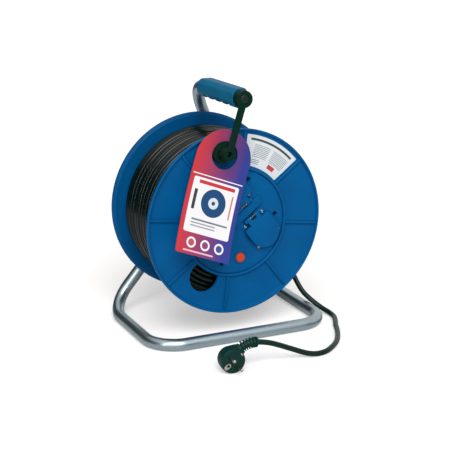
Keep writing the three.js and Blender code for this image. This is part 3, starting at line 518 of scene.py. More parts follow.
class Board:
    """A node tree that nodes are laid out on from left to right."""

    def __init__(self, tree: bpy.types.NodeTree) -> None:
        """Takes over an empty tree."""
        self.tree = tree
        self.place = 0

    def add(
        self, kind: str, levels: dict[str, object] | None = None, **settings: object
    ) -> bpy.types.Node:
        """A new node.

        Args:
            kind: The node's type name.
            levels: Values of its inputs by name.
            **settings: Values of its properties.

        Returns:
            The node.
        """
        node = self.tree.nodes.new(kind)
        node.location = (180 * (self.place % 12), -260 * (self.place // 12))
        self.place += 1
        for name, value in settings.items():
            setattr(node, name, value)
        for name, value in (levels or {}).items():
            node.inputs[name].default_value = value
        return node

    def link(self, source: Socket, target: Socket) -> None:
        """Joins an output to an input."""
        self.tree.links.new(source, target)

    def math(
        self, operation: str, *values: Socket | float, clamp: bool = False
    ) -> Socket:
        """A sum of sockets and numbers.

        Args:
            operation: The Math node's operation.
            *values: Its inputs.
            clamp: Whether the result stays within 0 and 1.

        Returns:
            The node's output.
        """
        node = self.add("ShaderNodeMath", operation=operation, use_clamp=clamp)
        for socket, value in zip(node.inputs, values):
            if isinstance(value, (int, float)):
                socket.default_value = value
            else:
                self.link(value, socket)
        return node.outputs[0]

    def blend(
        self,
        factor: Socket,
        first: Socket | tuple[float, ...],
        second: Socket | tuple[float, ...],
    ) -> Socket:
        """A colour between two others.

        Args:
            factor: Share of the second colour.
            first: Colour at 0.
            second: Colour at 1.

        Returns:
            The blended colour's output.
        """
        node = self.add("ShaderNodeMix", data_type="RGBA")
        self.link(factor, node.inputs[0])
        for socket, value in ((node.inputs[6], first), (node.inputs[7], second)):
            if isinstance(value, tuple):
                socket.default_value = value
            else:
                self.link(value, socket)
        return node.outputs[2]

    def span(
        self, value: Socket, low: float, high: float
    ) -> Socket:
        """A value's share of the way from one level to another, within 0 and 1.

        Args:
            value: The value.
            low: Level that gives 0.
            high: Level that gives 1.

        Returns:
            The share's output.
        """
        node = self.add("ShaderNodeMapRange", {"From Min": low, "From Max": high})
        self.link(value, node.inputs["Value"])
        return node.outputs[0]

    def parts(self, place: Socket) -> bpy.types.NodeOutputs:
        """A vector's X, Y and Z as outputs.

        Args:
            place: The vector.

        Returns:
            Outputs by the names of the axes.
        """
        node = self.add("ShaderNodeSeparateXYZ")
        self.link(place, node.inputs[0])
        return node.outputs

    def noise(
        self,
        place: Socket,
        scale: Socket,
        detail: float,
        roughness: float = 0.5,
    ) -> Socket:
        """Plain noise.

        Args:
            place: Coordinates.
            scale: Its scale.
            detail: Its number of octaves.
            roughness: How much the fine octaves weigh.

        Returns:
            The noise's output.
        """
        node = self.add("ShaderNodeTexNoise", {"Detail": detail, "Roughness": roughness})
        self.link(place, node.inputs["Vector"])
        self.link(scale, node.inputs["Scale"])
        return node.outputs[0]

    def group(self, tree: bpy.types.NodeTree, **values: object) -> bpy.types.NodeOutputs:
        """One of the shared effects, with its named inputs set or linked.

        Args:
            tree: The effect's tree.
            **values: Its inputs, with _ for a space.

        Returns:
            Its outputs.
        """
        node = self.add("ShaderNodeGroup", node_tree=tree)
        for name, value in values.items():
            socket = node.inputs[name.replace("_", " ")]
            if isinstance(value, Socket):
                self.link(value, socket)
            else:
                socket.default_value = value
        return node.outputs

    def surface(
        self,
        colour: Socket,
        rough: Socket,
        height: Socket,
        bump: float,
        levels: dict[str, float],
        depth: float = 0.0002,
    ) -> None:
        """The end of a material: a shader over a bump.

        Args:
            colour: Its base colour.
            rough: Its roughness.
            height: The bump's height.
            bump: The bump's strength.
            levels: Values of the shader's other inputs by name.
            depth: The bump's depth in metres.
        """
        relief = self.add("ShaderNodeBump", {"Strength": bump, "Distance": depth})
        self.link(height, relief.inputs["Height"])
        shader = self.add("ShaderNodeBsdfPrincipled", levels)
        self.link(colour, shader.inputs["Base Color"])
        self.link(rough, shader.inputs["Roughness"])
        self.link(relief.outputs[0], shader.inputs["Normal"])
        self.link(shader.outputs[0], self.add("ShaderNodeOutputMaterial").inputs[0])


def empty_material(name: str) -> bpy.types.Material:
    """A new material with no nodes.

    Args:
        name: Its name.

    Returns:
        The material.
    """
    made = bpy.data.materials.new(name)
    made.use_nodes = True
    made.node_tree.nodes.clear()
    return made


class Effect:
    """A shader node group that is built once and used in several materials.

    Each takes coordinates and the numbers named in `numbers`, with their usual values.
    """

    name = "effect"
    numbers: dict[str, float] = {}

    @classmethod
    def tree(cls) -> bpy.types.NodeTree:
        """The group's tree, made on first use.

        Returns:
            The tree.
        """
        made = bpy.data.node_groups.get(cls.name)
        if made:
            return made
        made = bpy.data.node_groups.new(cls.name, "ShaderNodeTree")
        made.interface.new_socket("Vector", in_out="INPUT", socket_type="NodeSocketVector")
        for name, value in cls.numbers.items():
            socket = made.interface.new_socket(name, in_out="INPUT", socket_type="NodeSocketFloat")
            socket.default_value = value
        board = Board(made)
        results = cls.fill(board, board.add("NodeGroupInput").outputs)
        for name in results:
            made.interface.new_socket(name, in_out="OUTPUT", socket_type="NodeSocketFloat")
        out = board.add("NodeGroupOutput")
        for name, value in results.items():
            board.link(value, out.inputs[name])
        return made

    @classmethod
    def fill(cls, board: Board, given: bpy.types.NodeOutputs) -> dict[str, Socket]:
        """Lays out the group's nodes and gives its results by name; each effect has its own."""
        raise NotImplementedError


class MouldGrain(Effect):
    """Slow tone changes and the fine texture of a moulded surface."""

    name = "mould grain"
    numbers = {"Patch Scale": 18.0, "Grain Scale": 900.0}

    @classmethod
    def fill(cls, board: Board, given: bpy.types.NodeOutputs) -> dict[str, Socket]:
        """Patches of tone from slow noise, and height from fast noise.

        Args:
            board: The tree to fill.
            given: The group's inputs.

        Returns:
            The group's results by name.
        """
        return {
            "Tone": board.noise(given["Vector"], given["Patch Scale"], 4.0),
            "Height": board.noise(given["Vector"], given["Grain Scale"], 2.0),
        }


class DustAndScuffs(Effect):
    """A mask of fine dust and short handling marks."""

    name = "dust and scuffs"
    numbers = {"Scale": 60.0, "Amount": 0.3}

    @classmethod
    def fill(cls, board: Board, given: bpy.types.NodeOutputs) -> dict[str, Socket]:
        """Thin stretched noise, thresholded and scaled by the amount.

        Args:
            board: The tree to fill.
            given: The group's inputs.

        Returns:
            The group's results by name.
        """
        stretch = board.add(
            "ShaderNodeMapping", {"Rotation": (0.4, 0.9, 0.3), "Scale": (1.0, 1.0, 7.0)}
        )
        board.link(given["Vector"], stretch.inputs["Vector"])
        marks = board.noise(stretch.outputs[0], given["Scale"], 6.0, 0.65)
        share = board.span(marks, 0.56, 0.74)
        return {"Mask": board.math("MULTIPLY", share, given["Amount"], clamp=True)}


class PrintedShape(Effect):
    """A mask of one rounded rectangle or disc printed on a flat piece."""

    name = "printed shape"
    numbers = {
        "Centre X": 0.0, "Centre Z": 0.0, "Half Width": 0.01, "Half Height": 0.01,
        "Corner": 0.001,
    }
    edge = 0.0003  # width over which the print's edge fades, in metres

    @classmethod
    def fill(cls, board: Board, given: bpy.types.NodeOutputs) -> dict[str, Socket]:
        """Distance from a rounded rectangle, turned into a sharp mask.

        Args:
            board: The tree to fill.
            given: The group's inputs.

        Returns:
            The group's results by name.
        """
        parts = board.parts(given["Vector"])
        corner = given["Corner"]
        squares = []
        for axis, extent in (("X", "Half Width"), ("Z", "Half Height")):
            offset = board.math("SUBTRACT", parts[axis], given[f"Centre {axis}"])
            inner = board.math("SUBTRACT", given[extent], corner)
            leg = board.math("SUBTRACT", board.math("ABSOLUTE", offset), inner)
            leg = board.math("MAXIMUM", leg, 0.0)
            squares.append(board.math("MULTIPLY", leg, leg))
        distance = board.math("SQRT", board.math("ADD", *squares))
        outside = board.math("DIVIDE", board.math("SUBTRACT", distance, corner), cls.edge)
        return {"Mask": board.math("SUBTRACT", 0.5, outside, clamp=True)}


class RuledLines(Effect):
    """A mask of level lines at one pitch, as the rules of a data plate."""

    name = "ruled lines"
    numbers = {"Pitch": 0.005, "Share": 0.2}

    @classmethod
    def fill(cls, board: Board, given: bpy.types.NodeOutputs) -> dict[str, Socket]:
        """The height over the pitch, wrapped and compared with the line's share.

        Args:
            board: The tree to fill.
            given: The group's inputs.

        Returns:
            The group's results by name.
        """
        height = board.parts(given["Vector"])["Z"]
        wrapped = board.math("FRACT", board.math("DIVIDE", height, given["Pitch"]))
        return {"Mask": board.math("LESS_THAN", wrapped, given["Share"])}


class Finish:
    """What a piece is made of; `name` is its material's name."""

    name: str

    def material(self) -> bpy.types.Material:
        """The finish as a material, made on first use.

        Returns:
            The material.
        """
        made = bpy.data.materials.get(self.name)
        if not made:
            made = empty_material(self.name)
            board = Board(made.node_tree)
            self.lay_out(board, board.add("ShaderNodeTexCoord").outputs["Object"])
        return made

    def lay_out(self, board: Board, place: Socket) -> None:
        """Lays out the material's nodes; each kind of finish has its own."""
        raise NotImplementedError


@dataclass(frozen=True)
class Plastic(Finish):
    """A moulded plastic or rubber finish."""

    name: str
    slot: Slot
    colour: Colour
    tint: Colour
    roughness: float = 0.38
    grain: float = 900.0
    bump: float = 0.12
    dust: float = 0.2
    coat: float = 0.0
    specular: float = 0.16

    def lay_out(self, board: Board, place: Socket) -> None:
        """Two close tones in patches, a fine grain, and pale dust on top.

        Args:
            board: The material's tree.
            place: Coordinates in metres.
        """
        grain = board.group(MouldGrain.tree(), Vector=place, Grain_Scale=self.grain)
        dust = board.group(DustAndScuffs.tree(), Vector=place, Amount=self.dust)["Mask"]
        tone = board.span(grain["Tone"], 0.35, 0.65)
        plain = board.blend(tone, linear(self.colour), linear(self.tint))
        pale = tuple(min(1.0, 0.55 * c + 0.14) for c in linear(self.tint)[:3]) + (1.0,)
        rough = board.math("MULTIPLY_ADD", tone, 0.06, self.roughness - 0.03)
        rough = board.math("MULTIPLY_ADD", dust, 0.25, rough)
        board.surface(board.blend(dust, plain, pale), rough, grain["Height"], self.bump, {
            "Specular IOR Level": self.specular,
            "Coat Weight": self.coat,
            "Coat Roughness": 0.15,
        })


@dataclass(frozen=True)
class Metal(Finish):
    """A plated or drawn metal finish."""

    name: str
    slot: Slot
    colour: Colour
    shade: Colour
    roughness: float = 0.2
    streaks: float = 220.0
    bump: float = 0.05

    def lay_out(self, board: Board, place: Socket) -> None:
        """Two tones of metal in patches, duller where it is dusty.

        Args:
            board: The material's tree.
            place: Coordinates in metres.
        """
        grain = board.group(
            MouldGrain.tree(), Vector=place, Patch_Scale=30.0, Grain_Scale=self.streaks
        )
        dust = board.group(DustAndScuffs.tree(), Vector=place, Scale=90.0, Amount=0.35)["Mask"]
        colour = board.blend(grain["Tone"], linear(self.colour), linear(self.shade))
        rough = board.math("MULTIPLY_ADD", grain["Tone"], 0.1, self.roughness - 0.05)
        rough = board.math("MULTIPLY_ADD", dust, 0.2, rough)
        board.surface(colour, rough, grain["Height"], self.bump, {"Metallic": 1.0})


@dataclass(frozen=True)
class Mark:
    """One printed shape on the card or the data plate, in millimetres."""

    centre: Point2
    half: Point2
    corner: float
    colour: Colour


@dataclass(frozen=True)
class Print(Finish):
    """A printed sheet: three ground colours blended along its slant, and marks on top."""

    name: str
    top: Colour
    middle: Colour
    foot: Colour
    top_at: float
    foot_at: float
    marks: tuple[Mark, ...] = ()
    ruled: tuple[Mark, ...] = ()
    pitch: float = 5.0
    roughness: float = 0.42
    slant: Point2 = (0.0, 1.0)
    arc_radius: float = 0.0

    def lay_out(self, board: Board, place: Socket) -> None:
        """The ground, then each mark, then the blocks of ruled lines.

        Args:
            board: The material's tree.
            place: Coordinates in metres.
        """
        if self.arc_radius:
            place = self.along_arc(board, place)
        parts = board.parts(place)
        level = board.math("MULTIPLY", parts["Z"], self.slant[1])
        slant = board.math("MULTIPLY_ADD", parts["X"], self.slant[0], level)
        ramp = board.add("ShaderNodeValToRGB")
        ramp.color_ramp.elements[0].color = linear(self.foot)
        ramp.color_ramp.elements[1].color = linear(self.top)
        ramp.color_ramp.elements.new(0.52).color = linear(self.middle)
        share = board.span(slant, self.foot_at * METRES, self.top_at * METRES)
        board.link(share, ramp.inputs[0])
        colour = ramp.outputs[0]
        for mark in self.marks:
            colour = board.blend(self.mask(board, place, mark), colour, linear(mark.colour))
        lines = board.group(
            RuledLines.tree(), Vector=place, Pitch=self.pitch * METRES, Share=0.34
        )["Mask"]
        for block in self.ruled:
            inside = board.math("MULTIPLY", lines, self.mask(board, place, block))
            colour = board.blend(inside, colour, linear(block.colour))
        grain = board.group(MouldGrain.tree(), Vector=place, Grain_Scale=1500.0)
        rough = board.math("MULTIPLY_ADD", grain["Tone"], 0.08, self.roughness - 0.04)
        board.surface(colour, rough, grain["Height"], 0.06, {}, 0.0001)

    def along_arc(self, board: Board, place: Socket) -> Socket:
        """Coordinates bent round the origin, so that level marks follow an arc.

        Args:
            board: The material's tree.
            place: Coordinates in metres.

        Returns:
            Length along the arc as X and distance from the origin as Z.
        """
        parts = board.parts(place)
        angle = board.math("ARCTAN2", parts["X"], parts["Z"])
        flat = board.add("ShaderNodeCombineXYZ")
        board.link(parts["X"], flat.inputs["X"])
        board.link(parts["Z"], flat.inputs["Y"])
        length = board.add("ShaderNodeVectorMath", operation="LENGTH")
        board.link(flat.outputs[0], length.inputs[0])
        bent = board.add("ShaderNodeCombineXYZ")
        board.link(board.math("MULTIPLY", angle, self.arc_radius * METRES), bent.inputs["X"])
        board.link(length.outputs["Value"], bent.inputs["Z"])
        return bent.outputs[0]

    @staticmethod
    def mask(
        board: Board, place: Socket, mark: Mark
    ) -> Socket:
        """The mask of one mark.

        Args:
            board: The material's tree.
            place: Coordinates in metres.
            mark: The mark.

        Returns:
            The mask's output.
        """
        return board.group(
            PrintedShape.tree(),
            Vector=place,
            Centre_X=mark.centre[0] * METRES,
            Centre_Z=mark.centre[1] * METRES,
            Half_Width=mark.half[0] * METRES,
            Half_Height=mark.half[1] * METRES,
            Corner=mark.corner * METRES,
        )["Mask"]


BLUE = Plastic(
    "blue polypropylene", Slot.BLUE, (0, 88, 146), (0, 94, 154),
    roughness=0.38, bump=0.05, dust=0.03, specular=0.08,
)
# The same blue plastic as the front half, coloured darker: painted shade on the rear flange.
SHADED_REAR_BLUE = Plastic(
    "blue polypropylene, rear, painted shade", Slot.BLUE, (0, 76, 128), (0, 82, 136),
    roughness=0.38, bump=0.05, dust=0.03, specular=0.08,
)
GRIP_BLUE = Plastic(
    "blue grip plastic", Slot.BLUE, (0, 100, 138), (4, 108, 148),
    roughness=0.5, grain=1300.0, bump=0.15, dust=0.06,
)
BLACK = Plastic(
    "black polyamide", Slot.BLACK, (0, 36, 25), (2, 42, 31),
    roughness=0.45, grain=1100.0, bump=0.1, dust=0.03, specular=0.1,
)
PLUG_BLACK = Plastic(
    "black plug rubber", Slot.BLACK, (6, 50, 44), (14, 60, 54),
    roughness=0.45, grain=1400.0, bump=0.12, dust=0.05,
)
# The wound cable is the same sheath as the loose cord, coloured darker as painted shade between
# the flanges.
CABLE = Plastic(
    "cable sheath, painted shade", Slot.CABLE, (0, 12, 8), (0, 18, 12),
    roughness=0.2, grain=1200.0, bump=0.03, dust=0.02, specular=0.3,
)
CORD = Plastic(
    "dark cord sheath", Slot.CABLE, (0, 32, 23), (2, 38, 29),
    roughness=0.28, grain=1200.0, bump=0.03, dust=0.02, specular=0.25,
)
WHITE = Plastic(
    "white acetal", Slot.WHITE, (226, 226, 220), (234, 233, 228), roughness=0.45, dust=0.1
)
ORANGE = Plastic(
    "orange button plastic", Slot.ORANGE, (212, 62, 22), (222, 70, 28),
    roughness=0.3, bump=0.03, dust=0.05, coat=0.3,
)
# Blackened steel of the lever's pivot screw; the panel screws wear it too, as painted shade that
# makes their holes look dark.
DARK_SCREW_AND_HOLE_SHADE = Plastic(
    "blackened screw and painted hole shade", Slot.STEEL, (14, 30, 26), (20, 38, 33),
    roughness=0.35, bump=0.05, dust=0.1, specular=0.3,
)
ZINC = Metal("bright zinc tube", Slot.STEEL, (180, 194, 200), (156, 174, 181), 0.34)
SCREW = Metal("zinc screw steel", Slot.STEEL, (188, 190, 192), (160, 164, 170), 0.3)
NICKEL = Metal("nickel plated brass", Slot.NICKEL, (206, 202, 190), (186, 182, 172), 0.22)
SPRING = Metal("spring steel wire", Slot.STEEL, (120, 122, 126), (92, 95, 100), 0.28)


# ------------------------------------------------------------------------- pieces


def add_piece(
    name: str,
    mesh: Mesh,
    finish: Plastic | Metal,
    body: Body,
    place: Matrix = ROOT_PLACE,
    instead_of: Sequence[str] = (),
    sharp: float = 38.0,
) -> bpy.types.Object:
    """Places a mesh, dresses it and lets it ride on its body.

    Args:
        name: The piece's name.
        mesh: Mesh data in millimetres.
        finish: What it is made of.
        body: The body it moves with.
        place: From millimetres to the reel's frame.
        instead_of: Solids it stands for.
        sharp: Edges sharper than this angle stay crisp.

    Returns:
        The new object.
    """
    mesh.name = name
    mesh.transform(place)
    for polygon in mesh.polygons:
        polygon.use_smooth = True
    mesh.set_sharp_from_angle(angle=math.radians(sharp))
    mesh.materials.clear()
    mesh.materials.append(finish.material())
    obj = linked(name, mesh)
    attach(obj, body.value)
    if instead_of:
        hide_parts(*instead_of)
    LOG.info("%s: %d faces on %s", name, len(mesh.polygons), body.value)
    return obj


def add_sheet(name: str, mesh: Mesh, finish: Print, place: Matrix) -> None:
    """Places a printed sheet on the drum; it keeps its own axes for its print.

    Args:
        name: The sheet's name.
        mesh: Mesh data in millimetres.
        finish: Its print.
        place: From the sheet's axes to the reel's frame, in metres.
    """
    mesh.transform(MILLIMETRES)
    mesh.materials.append(finish.material())
    sheet = linked(name, mesh)
    sheet.matrix_world = place
    bpy.context.view_layer.update()
    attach(sheet, Body.DRUM.value)
    LOG.info("%s: %d faces on %s", name, len(mesh.polygons), Body.DRUM.value)


@dataclass
class KeptSolids:
    """Inner solids that show as they are, under a finish of their own."""

    frame: dict
    finishes: dict[str, Finish] = field(default_factory=lambda: {
        "hub_sleeve": WHITE,
        "hub_bush_front": WHITE,
        "axle_washer": SCREW,
        "axle_cap": BLACK,
        "thermal_cutout": BLACK,
        "cable_gland": BLACK,
        "drum_bolt": SCREW,
        "earth_bracket": NICKEL,
    })

    def dress(self) -> None:
        """Gives every node that starts with one of the names its finish."""
        for name, obj in self.frame["nodes"].items():
            for start, finish in self.finishes.items():
                if name.startswith(start):
                    obj.data.materials.clear()
                    obj.data.materials.append(finish.material())
                    LOG.info("%s: kept solid in %s", name, finish.name)


@dataclass
class StandFrame:
    """The bent tube that lies on the floor, carries the drum and ends in the handle."""

    radius: float = 9.5
    bend: float = 47.0
    half_width: float = 145.0
    leg_plane: float = 100.0
    front_bar: float = -100.0
    axle_end: float = -43.0
    handle_reach: float = 184.0
    bend_steps: int = 18

    def corners(self) -> list[Vector]:
        """Corners of the centreline, from the axle's end to the handle's end.

        Returns:
            The corners in millimetres.
        """
        side, floor = self.half_width, self.radius
        rise = math.radians(HANDLE_RISE)
        end = HANDLE_START + self.handle_reach * Vector((0.0, -math.cos(rise), math.sin(rise)))
        return [
            Vector((0.0, self.axle_end, DRUM_CENTRE.z)),
            Vector((0.0, self.leg_plane, DRUM_CENTRE.z)),
            Vector((-side, self.leg_plane, floor)),
            Vector((-side, self.front_bar, floor)),
            Vector((side, self.front_bar, floor)),
            Vector((side, self.leg_plane, floor)),
            HANDLE_START.copy(),
            end,
        ]

    def route(self) -> list[Vector]:
        """The centreline with its bends rounded.

        Returns:
            Its points in millimetres.
        """
        corners = self.corners()
        points = [corners[0]]
        for before, corner, after in zip(corners, corners[1:], corners[2:]):
            arriving = (corner - before).normalized()
            leaving = (after - corner).normalized()
            angle = arriving.angle(leaving)
            axis = arriving.cross(leaving).normalized()
            start = corner - arriving * (self.bend * math.tan(angle / 2))
            centre = start + axis.cross(arriving) * self.bend
            for i in range(self.bend_steps + 1):
                spin = Matrix.Rotation(angle * i / self.bend_steps, 3, axis)
                points.append(centre + spin @ (start - centre))
        points.append(corners[-1])
        return points

    def build(self) -> None:
        """Makes the tube."""
        tube = sweep(self.route(), self.radius, 40)
        add_piece("stand_tube", tube, ZINC, Body.STAND, ROOT_PLACE, ["frame_tube"])


@dataclass
class CarryHandle:
    """The grip, its front cap, and the lock arm that turns on the cap."""

    start: float = 48.0
    length: float = 130.0
    half_width: float = 13.5
    top: float = 14.5
    bottom: float = 15.0
    finger_pitch: float = 25.0
    finger_depth: float = 2.6
    finger_radius: float = 22.0
    nose: float = 16.0
    nose_top: float = 10.5
    end_ease: float = 1.2
    grip_steps: int = 104
    cap_radius: float = 13.2
    cap_front: float = 187.3
    arm_thickness: float = 5.5
    arm_length: float = 84.0
    arm_tilt: float = 17.3
    arm_width: float = 10.0
    disc_radius: float = 13.0
    eye_radius: float = 10.0
    eye_hole: float = 4.0

    def section(self) -> list[Point2]:
        """The grip's cross-section, with a flat top and two side facets.

        Returns:
            Its outline as (x, z).
        """
        half, top, low = self.half_width, self.top, -self.bottom
        corners = [
            (-half + 6.0, top), (-half, top - 7.0), (-half, low + 9.0), (-half + 4.0, low + 2.0),
            (-half + 9.0, low), (half - 9.0, low), (half - 4.0, low + 2.0), (half, low + 9.0),
            (half, top - 7.0), (half - 6.0, top),
        ]
        return rounded(corners, 3.0, 4)

    def underside(self, along: float) -> float:
        """How far the finger hollows lift the grip's underside.

        Args:
            along: Distance from the grip's rear end.

        Returns:
            The lift in millimetres.
        """
        fingers = int((self.length - self.finger_pitch) // self.finger_pitch)
        first = (self.length - (fingers - 1) * self.finger_pitch) / 2
        lift = 0.0
        for i in range(fingers):
            offset = abs(along - first - i * self.finger_pitch)
            if offset < self.finger_radius:
                arch = math.sqrt(self.finger_radius**2 - offset**2)
                lift = max(lift, self.finger_depth - self.finger_radius + arch)
        return lift

    def grip(self) -> Mesh:
        """The grip as a skin over cross-sections along the tube.

        Returns:
            Mesh data in millimetres.
        """
        section = self.section()
        rings = []
        for i in range(self.grip_steps + 1):
            along = self.length * i / self.grip_steps
            lift = self.underside(along)
            drop = (self.top - self.nose_top) * quarter_round(min(along, self.nose) / self.nose)
            to_end = min(along, self.length - along, self.end_ease)
            inset = quarter_round(to_end / self.end_ease)
            ring = []
            for x, z in section:
                high = (z + self.bottom) / (self.top + self.bottom)
                low_share = max(0.0, 1.0 - high * 2.0)
                z_here = z + lift * low_share * low_share * 1.15 - drop * high
                scale = 1.0 - 0.07 * inset
                ring.append(Vector((x * scale, -(self.start + along), z_here * scale)))
            rings.append(ring)
        return loft(rings)

    def cap(self) -> Mesh:
        """The round cap between the grip and the arm.

        Returns:
            Mesh data in millimetres.
        """
        back = self.start + self.length + SEAT_GAP
        profile = [
            (0.0, back), (self.cap_radius, back), (self.cap_radius, self.cap_front),
            (0.0, self.cap_front),
        ]
        return lathe(profile, 72, 1.1, 4)

    def arm(self) -> Mesh:
        """The arm's flat bar with its boss and its eye.

        Returns:
            Mesh data in millimetres.
        """
        half = self.arm_width / 2
        boss = math.degrees(math.asin(half / self.disc_radius))
        eye = math.degrees(math.asin(half / self.eye_radius))
        outline = arc((0.0, 0.0), self.disc_radius, -90.0 + boss, 270.0 - boss, 56)
        outline += arc((0.0, -self.arm_length), self.eye_radius, 90.0 + eye, 450.0 - eye, 48)
        back = self.cap_front + SEAT_GAP
        front = back + self.arm_thickness
        bar = plate(
            [outline, circle((0.0, -self.arm_length), self.eye_hole, 32)], back, front, 1.0, 3
        )
        return cut(bar, cylinder(7.0, front - 2.8, front + 1.0, steps=56))

    def pivot(self) -> Mesh:
        """The pivot screw, with a hexagon recess in its head.

        Returns:
            Mesh data in millimetres.
        """
        front = self.cap_front + SEAT_GAP + self.arm_thickness
        head = lathe([
            (0.0, front - 18.0), (3.0, front - 18.0), (3.0, front - 2.5), (6.7, front - 2.5),
            (6.7, front - 0.7), (5.6, front), (0.0, front),
        ], 56, 0.35)
        return cut(head, cylinder(2.4, front - 0.9, front + 1.0, steps=6))

    def build(self) -> None:
        """Makes the four pieces."""
        tilt = HANDLE_PLACE @ turned(self.arm_tilt, "Y")
        add_piece("grip", self.grip(), GRIP_BLUE, Body.STAND, HANDLE_PLACE, ["handle_grip"])
        add_piece("grip_cap", self.cap(), BLACK, Body.STAND, HANDLE_PLACE, ["handle_cap"])
        add_piece("lock_lever", self.arm(), BLACK, Body.ARM, tilt, ["lock_arm"])
        add_piece(
            "lever_screw", self.pivot(), DARK_SCREW_AND_HOLE_SHADE, Body.STAND, HANDLE_PLACE, ["arm_pivot"]
        )


@dataclass
class DrumShell:
    """The two moulded halves: flange, barrel and hub web each."""

    rim: float = 145.0
    rim_width: float = 3.4
    inner: float = 68.0
    face: float = FLANGE_FACE
    rim_face: float = 76.8
    barrel: float = 80.0
    bore: float = 77.0
    half_gap: float = 0.15
    seat: float = 82.3
    seat_out: float = 70.7
    ring_out: float = 76.6
    hub_hole: float = 15.1
    hub_radius: float = 18.1
    front_web: float = 16.0
    rear_web: float = 31.0
    rib_width: float = 4.2
    rib_rise: float = 3.2
    rib_count: int = 8
    window_radius: float = 24.0
    window_orbit: float = 96.5
    window_angle: float = -115.0
    knob_orbit: float = KNOB_ORBIT
    knob_angle: float = KNOB_ANGLE
    stiffeners: int = 8
    fin_start: float = 29.0

    def profile(self, web: float, mouth: list[Point2]) -> list[Point2]:
        """The half's section.

        Args:
            web: Distance of its hub web from the middle plane.
            mouth: The points between the flange's face and the barrel's bore.

        Returns:
            The closed section with its corners rounded.
        """
        rim, hub, hole = self.rim - self.rim_width, self.hub_radius, self.hub_hole
        corners = [
            (self.barrel, self.half_gap), (self.barrel, self.inner), (self.rim - 4.0, self.inner),
            (self.rim, self.inner + 4.0), (self.rim, self.rim_face), (rim + 0.6, self.rim_face),
            (rim - 0.9, self.face), *mouth, (self.bore, web + 3.0), (hub, web + 3.0),
            (hub, web + 8.0), (hole, web + 8.0), (hole, web - 4.0), (hub, web - 4.0),
            (hub, web), (self.bore, web), (self.bore, self.half_gap),
        ]
        return rounded(corners, 1.3, 4)

    def ribs(self, inner: float) -> Mesh:
        """The radial ribs of one flange, with their flanks rounded.

        Args:
            inner: Radius where they start.

        Returns:
            All the ribs as one mesh.
        """
        half = self.rib_width / 2
        ribs = []
        for i in range(self.rib_count):
            outline = rounded(rectangle(inner, -half, self.rim - self.rim_width, half), 0.8, 2)
            rib = plate([outline], self.face - 1.5, self.face + self.rib_rise, 1.3, 3)
            ribs.append(moved(rib, turned(360.0 * i / self.rib_count, "Y")))
        return joined(ribs)

    def window(self) -> Mesh:
        """The tool that cuts the round window, held off the panel's ring.

        Returns:
            Mesh data in millimetres.
        """
        x, z = polar(self.window_orbit, self.window_angle)
        hole = cylinder(self.window_radius, self.inner - 2.0, self.rim_face + 2.0, (x, z), 96)
        keep = cylinder(86.9, self.inner - 3.0, self.rim_face + 3.0, steps=240)
        return cut(hole, keep)

    def front(self) -> None:
        """Makes the front half, its ribs, posts and knob boss."""
        mouth = [
            (86.7, self.face), (86.1, self.ring_out), (self.seat, self.ring_out),
            (self.seat, self.seat_out), (self.bore, self.seat_out),
        ]
        shell = cut(lathe(self.profile(self.front_web, mouth), 240), self.window())
        posts = [cylinder(4.5, 17.0, 62.0, spot, 32) for spot in panel_screws()]
        boss = lathe([(0.0, 71.0), (8.4, 71.5), (6.4, 73.5), (6.4, 80.0), (0.0, 80.0)], 48, 0.8)
        boss.transform(across(*polar(self.knob_orbit, self.knob_angle)))
        mesh = joined([shell, *posts, boss, self.ribs(86.3)])
        add_piece(
            "drum_front", mesh, BLUE, Body.DRUM, DRUM_PLACE, ["front_flange", "front_core"], 30.0
        )

    def rear(self) -> None:
        """Makes the rear half, open behind, with stiffening fins round its hub web."""
        mouth = [(85.2, self.face), (84.6, 75.6), (self.bore, 75.6)]
        shell = lathe(self.profile(self.rear_web, mouth), 240)
        root, top = self.rear_web + 2.5, self.inner - 8.0
        outline = rounded([
            (self.fin_start, root), (self.bore + 1.0, root), (self.bore + 1.0, top),
            (self.bore - 6.0, top), (self.fin_start, root + 6.0),
        ], 1.0, 3)
        fins = []
        for i in range(self.stiffeners):
            fin = moved(plate([outline], -1.2, 1.2, 0.4, 2), turned(90.0, "X"))
            fins.append(moved(fin, turned(360.0 * (i + 0.5) / self.stiffeners, "Y")))
        mesh = joined([shell, self.ribs(84.8), *fins])
        mesh.transform(turned(180.0, "Z"))
        # The rear half wears the darker copy of the blue, as painted shade.
        add_piece(
            "drum_rear", mesh, SHADED_REAR_BLUE, Body.DRUM, DRUM_PLACE, ["rear_flange", "rear_core"], 30.0
        )

    def build(self) -> None:
        """Makes both halves."""
        self.front()
        self.rear()


@dataclass
class HubFittings:
    """The bush and the collar that show in the drum's open rear."""

    bore: float = 10.0
    sleeve: float = 14.8

    def build(self) -> None:
        """Makes the pieces that can be seen from behind."""
        bush = lathe([
            (self.bore, -25.3), (12.3, -25.3), (12.3, -37.3), (self.sleeve, -37.3),
            (self.sleeve, -39.3), (self.bore, -39.3),
        ], 64, 0.4)
        add_piece("rear_bush", bush, WHITE, Body.DRUM, DRUM_PLACE, ["hub_bush_rear"])
        collar = lathe([
            (9.6, -39.6), (self.sleeve, -39.6), (self.sleeve, -42.6), (9.6, -42.6),
        ], 64, 0.5)
        add_piece("stop_collar", collar, BLACK, Body.STAND, AXLE_PLACE, ["axle_collar"])


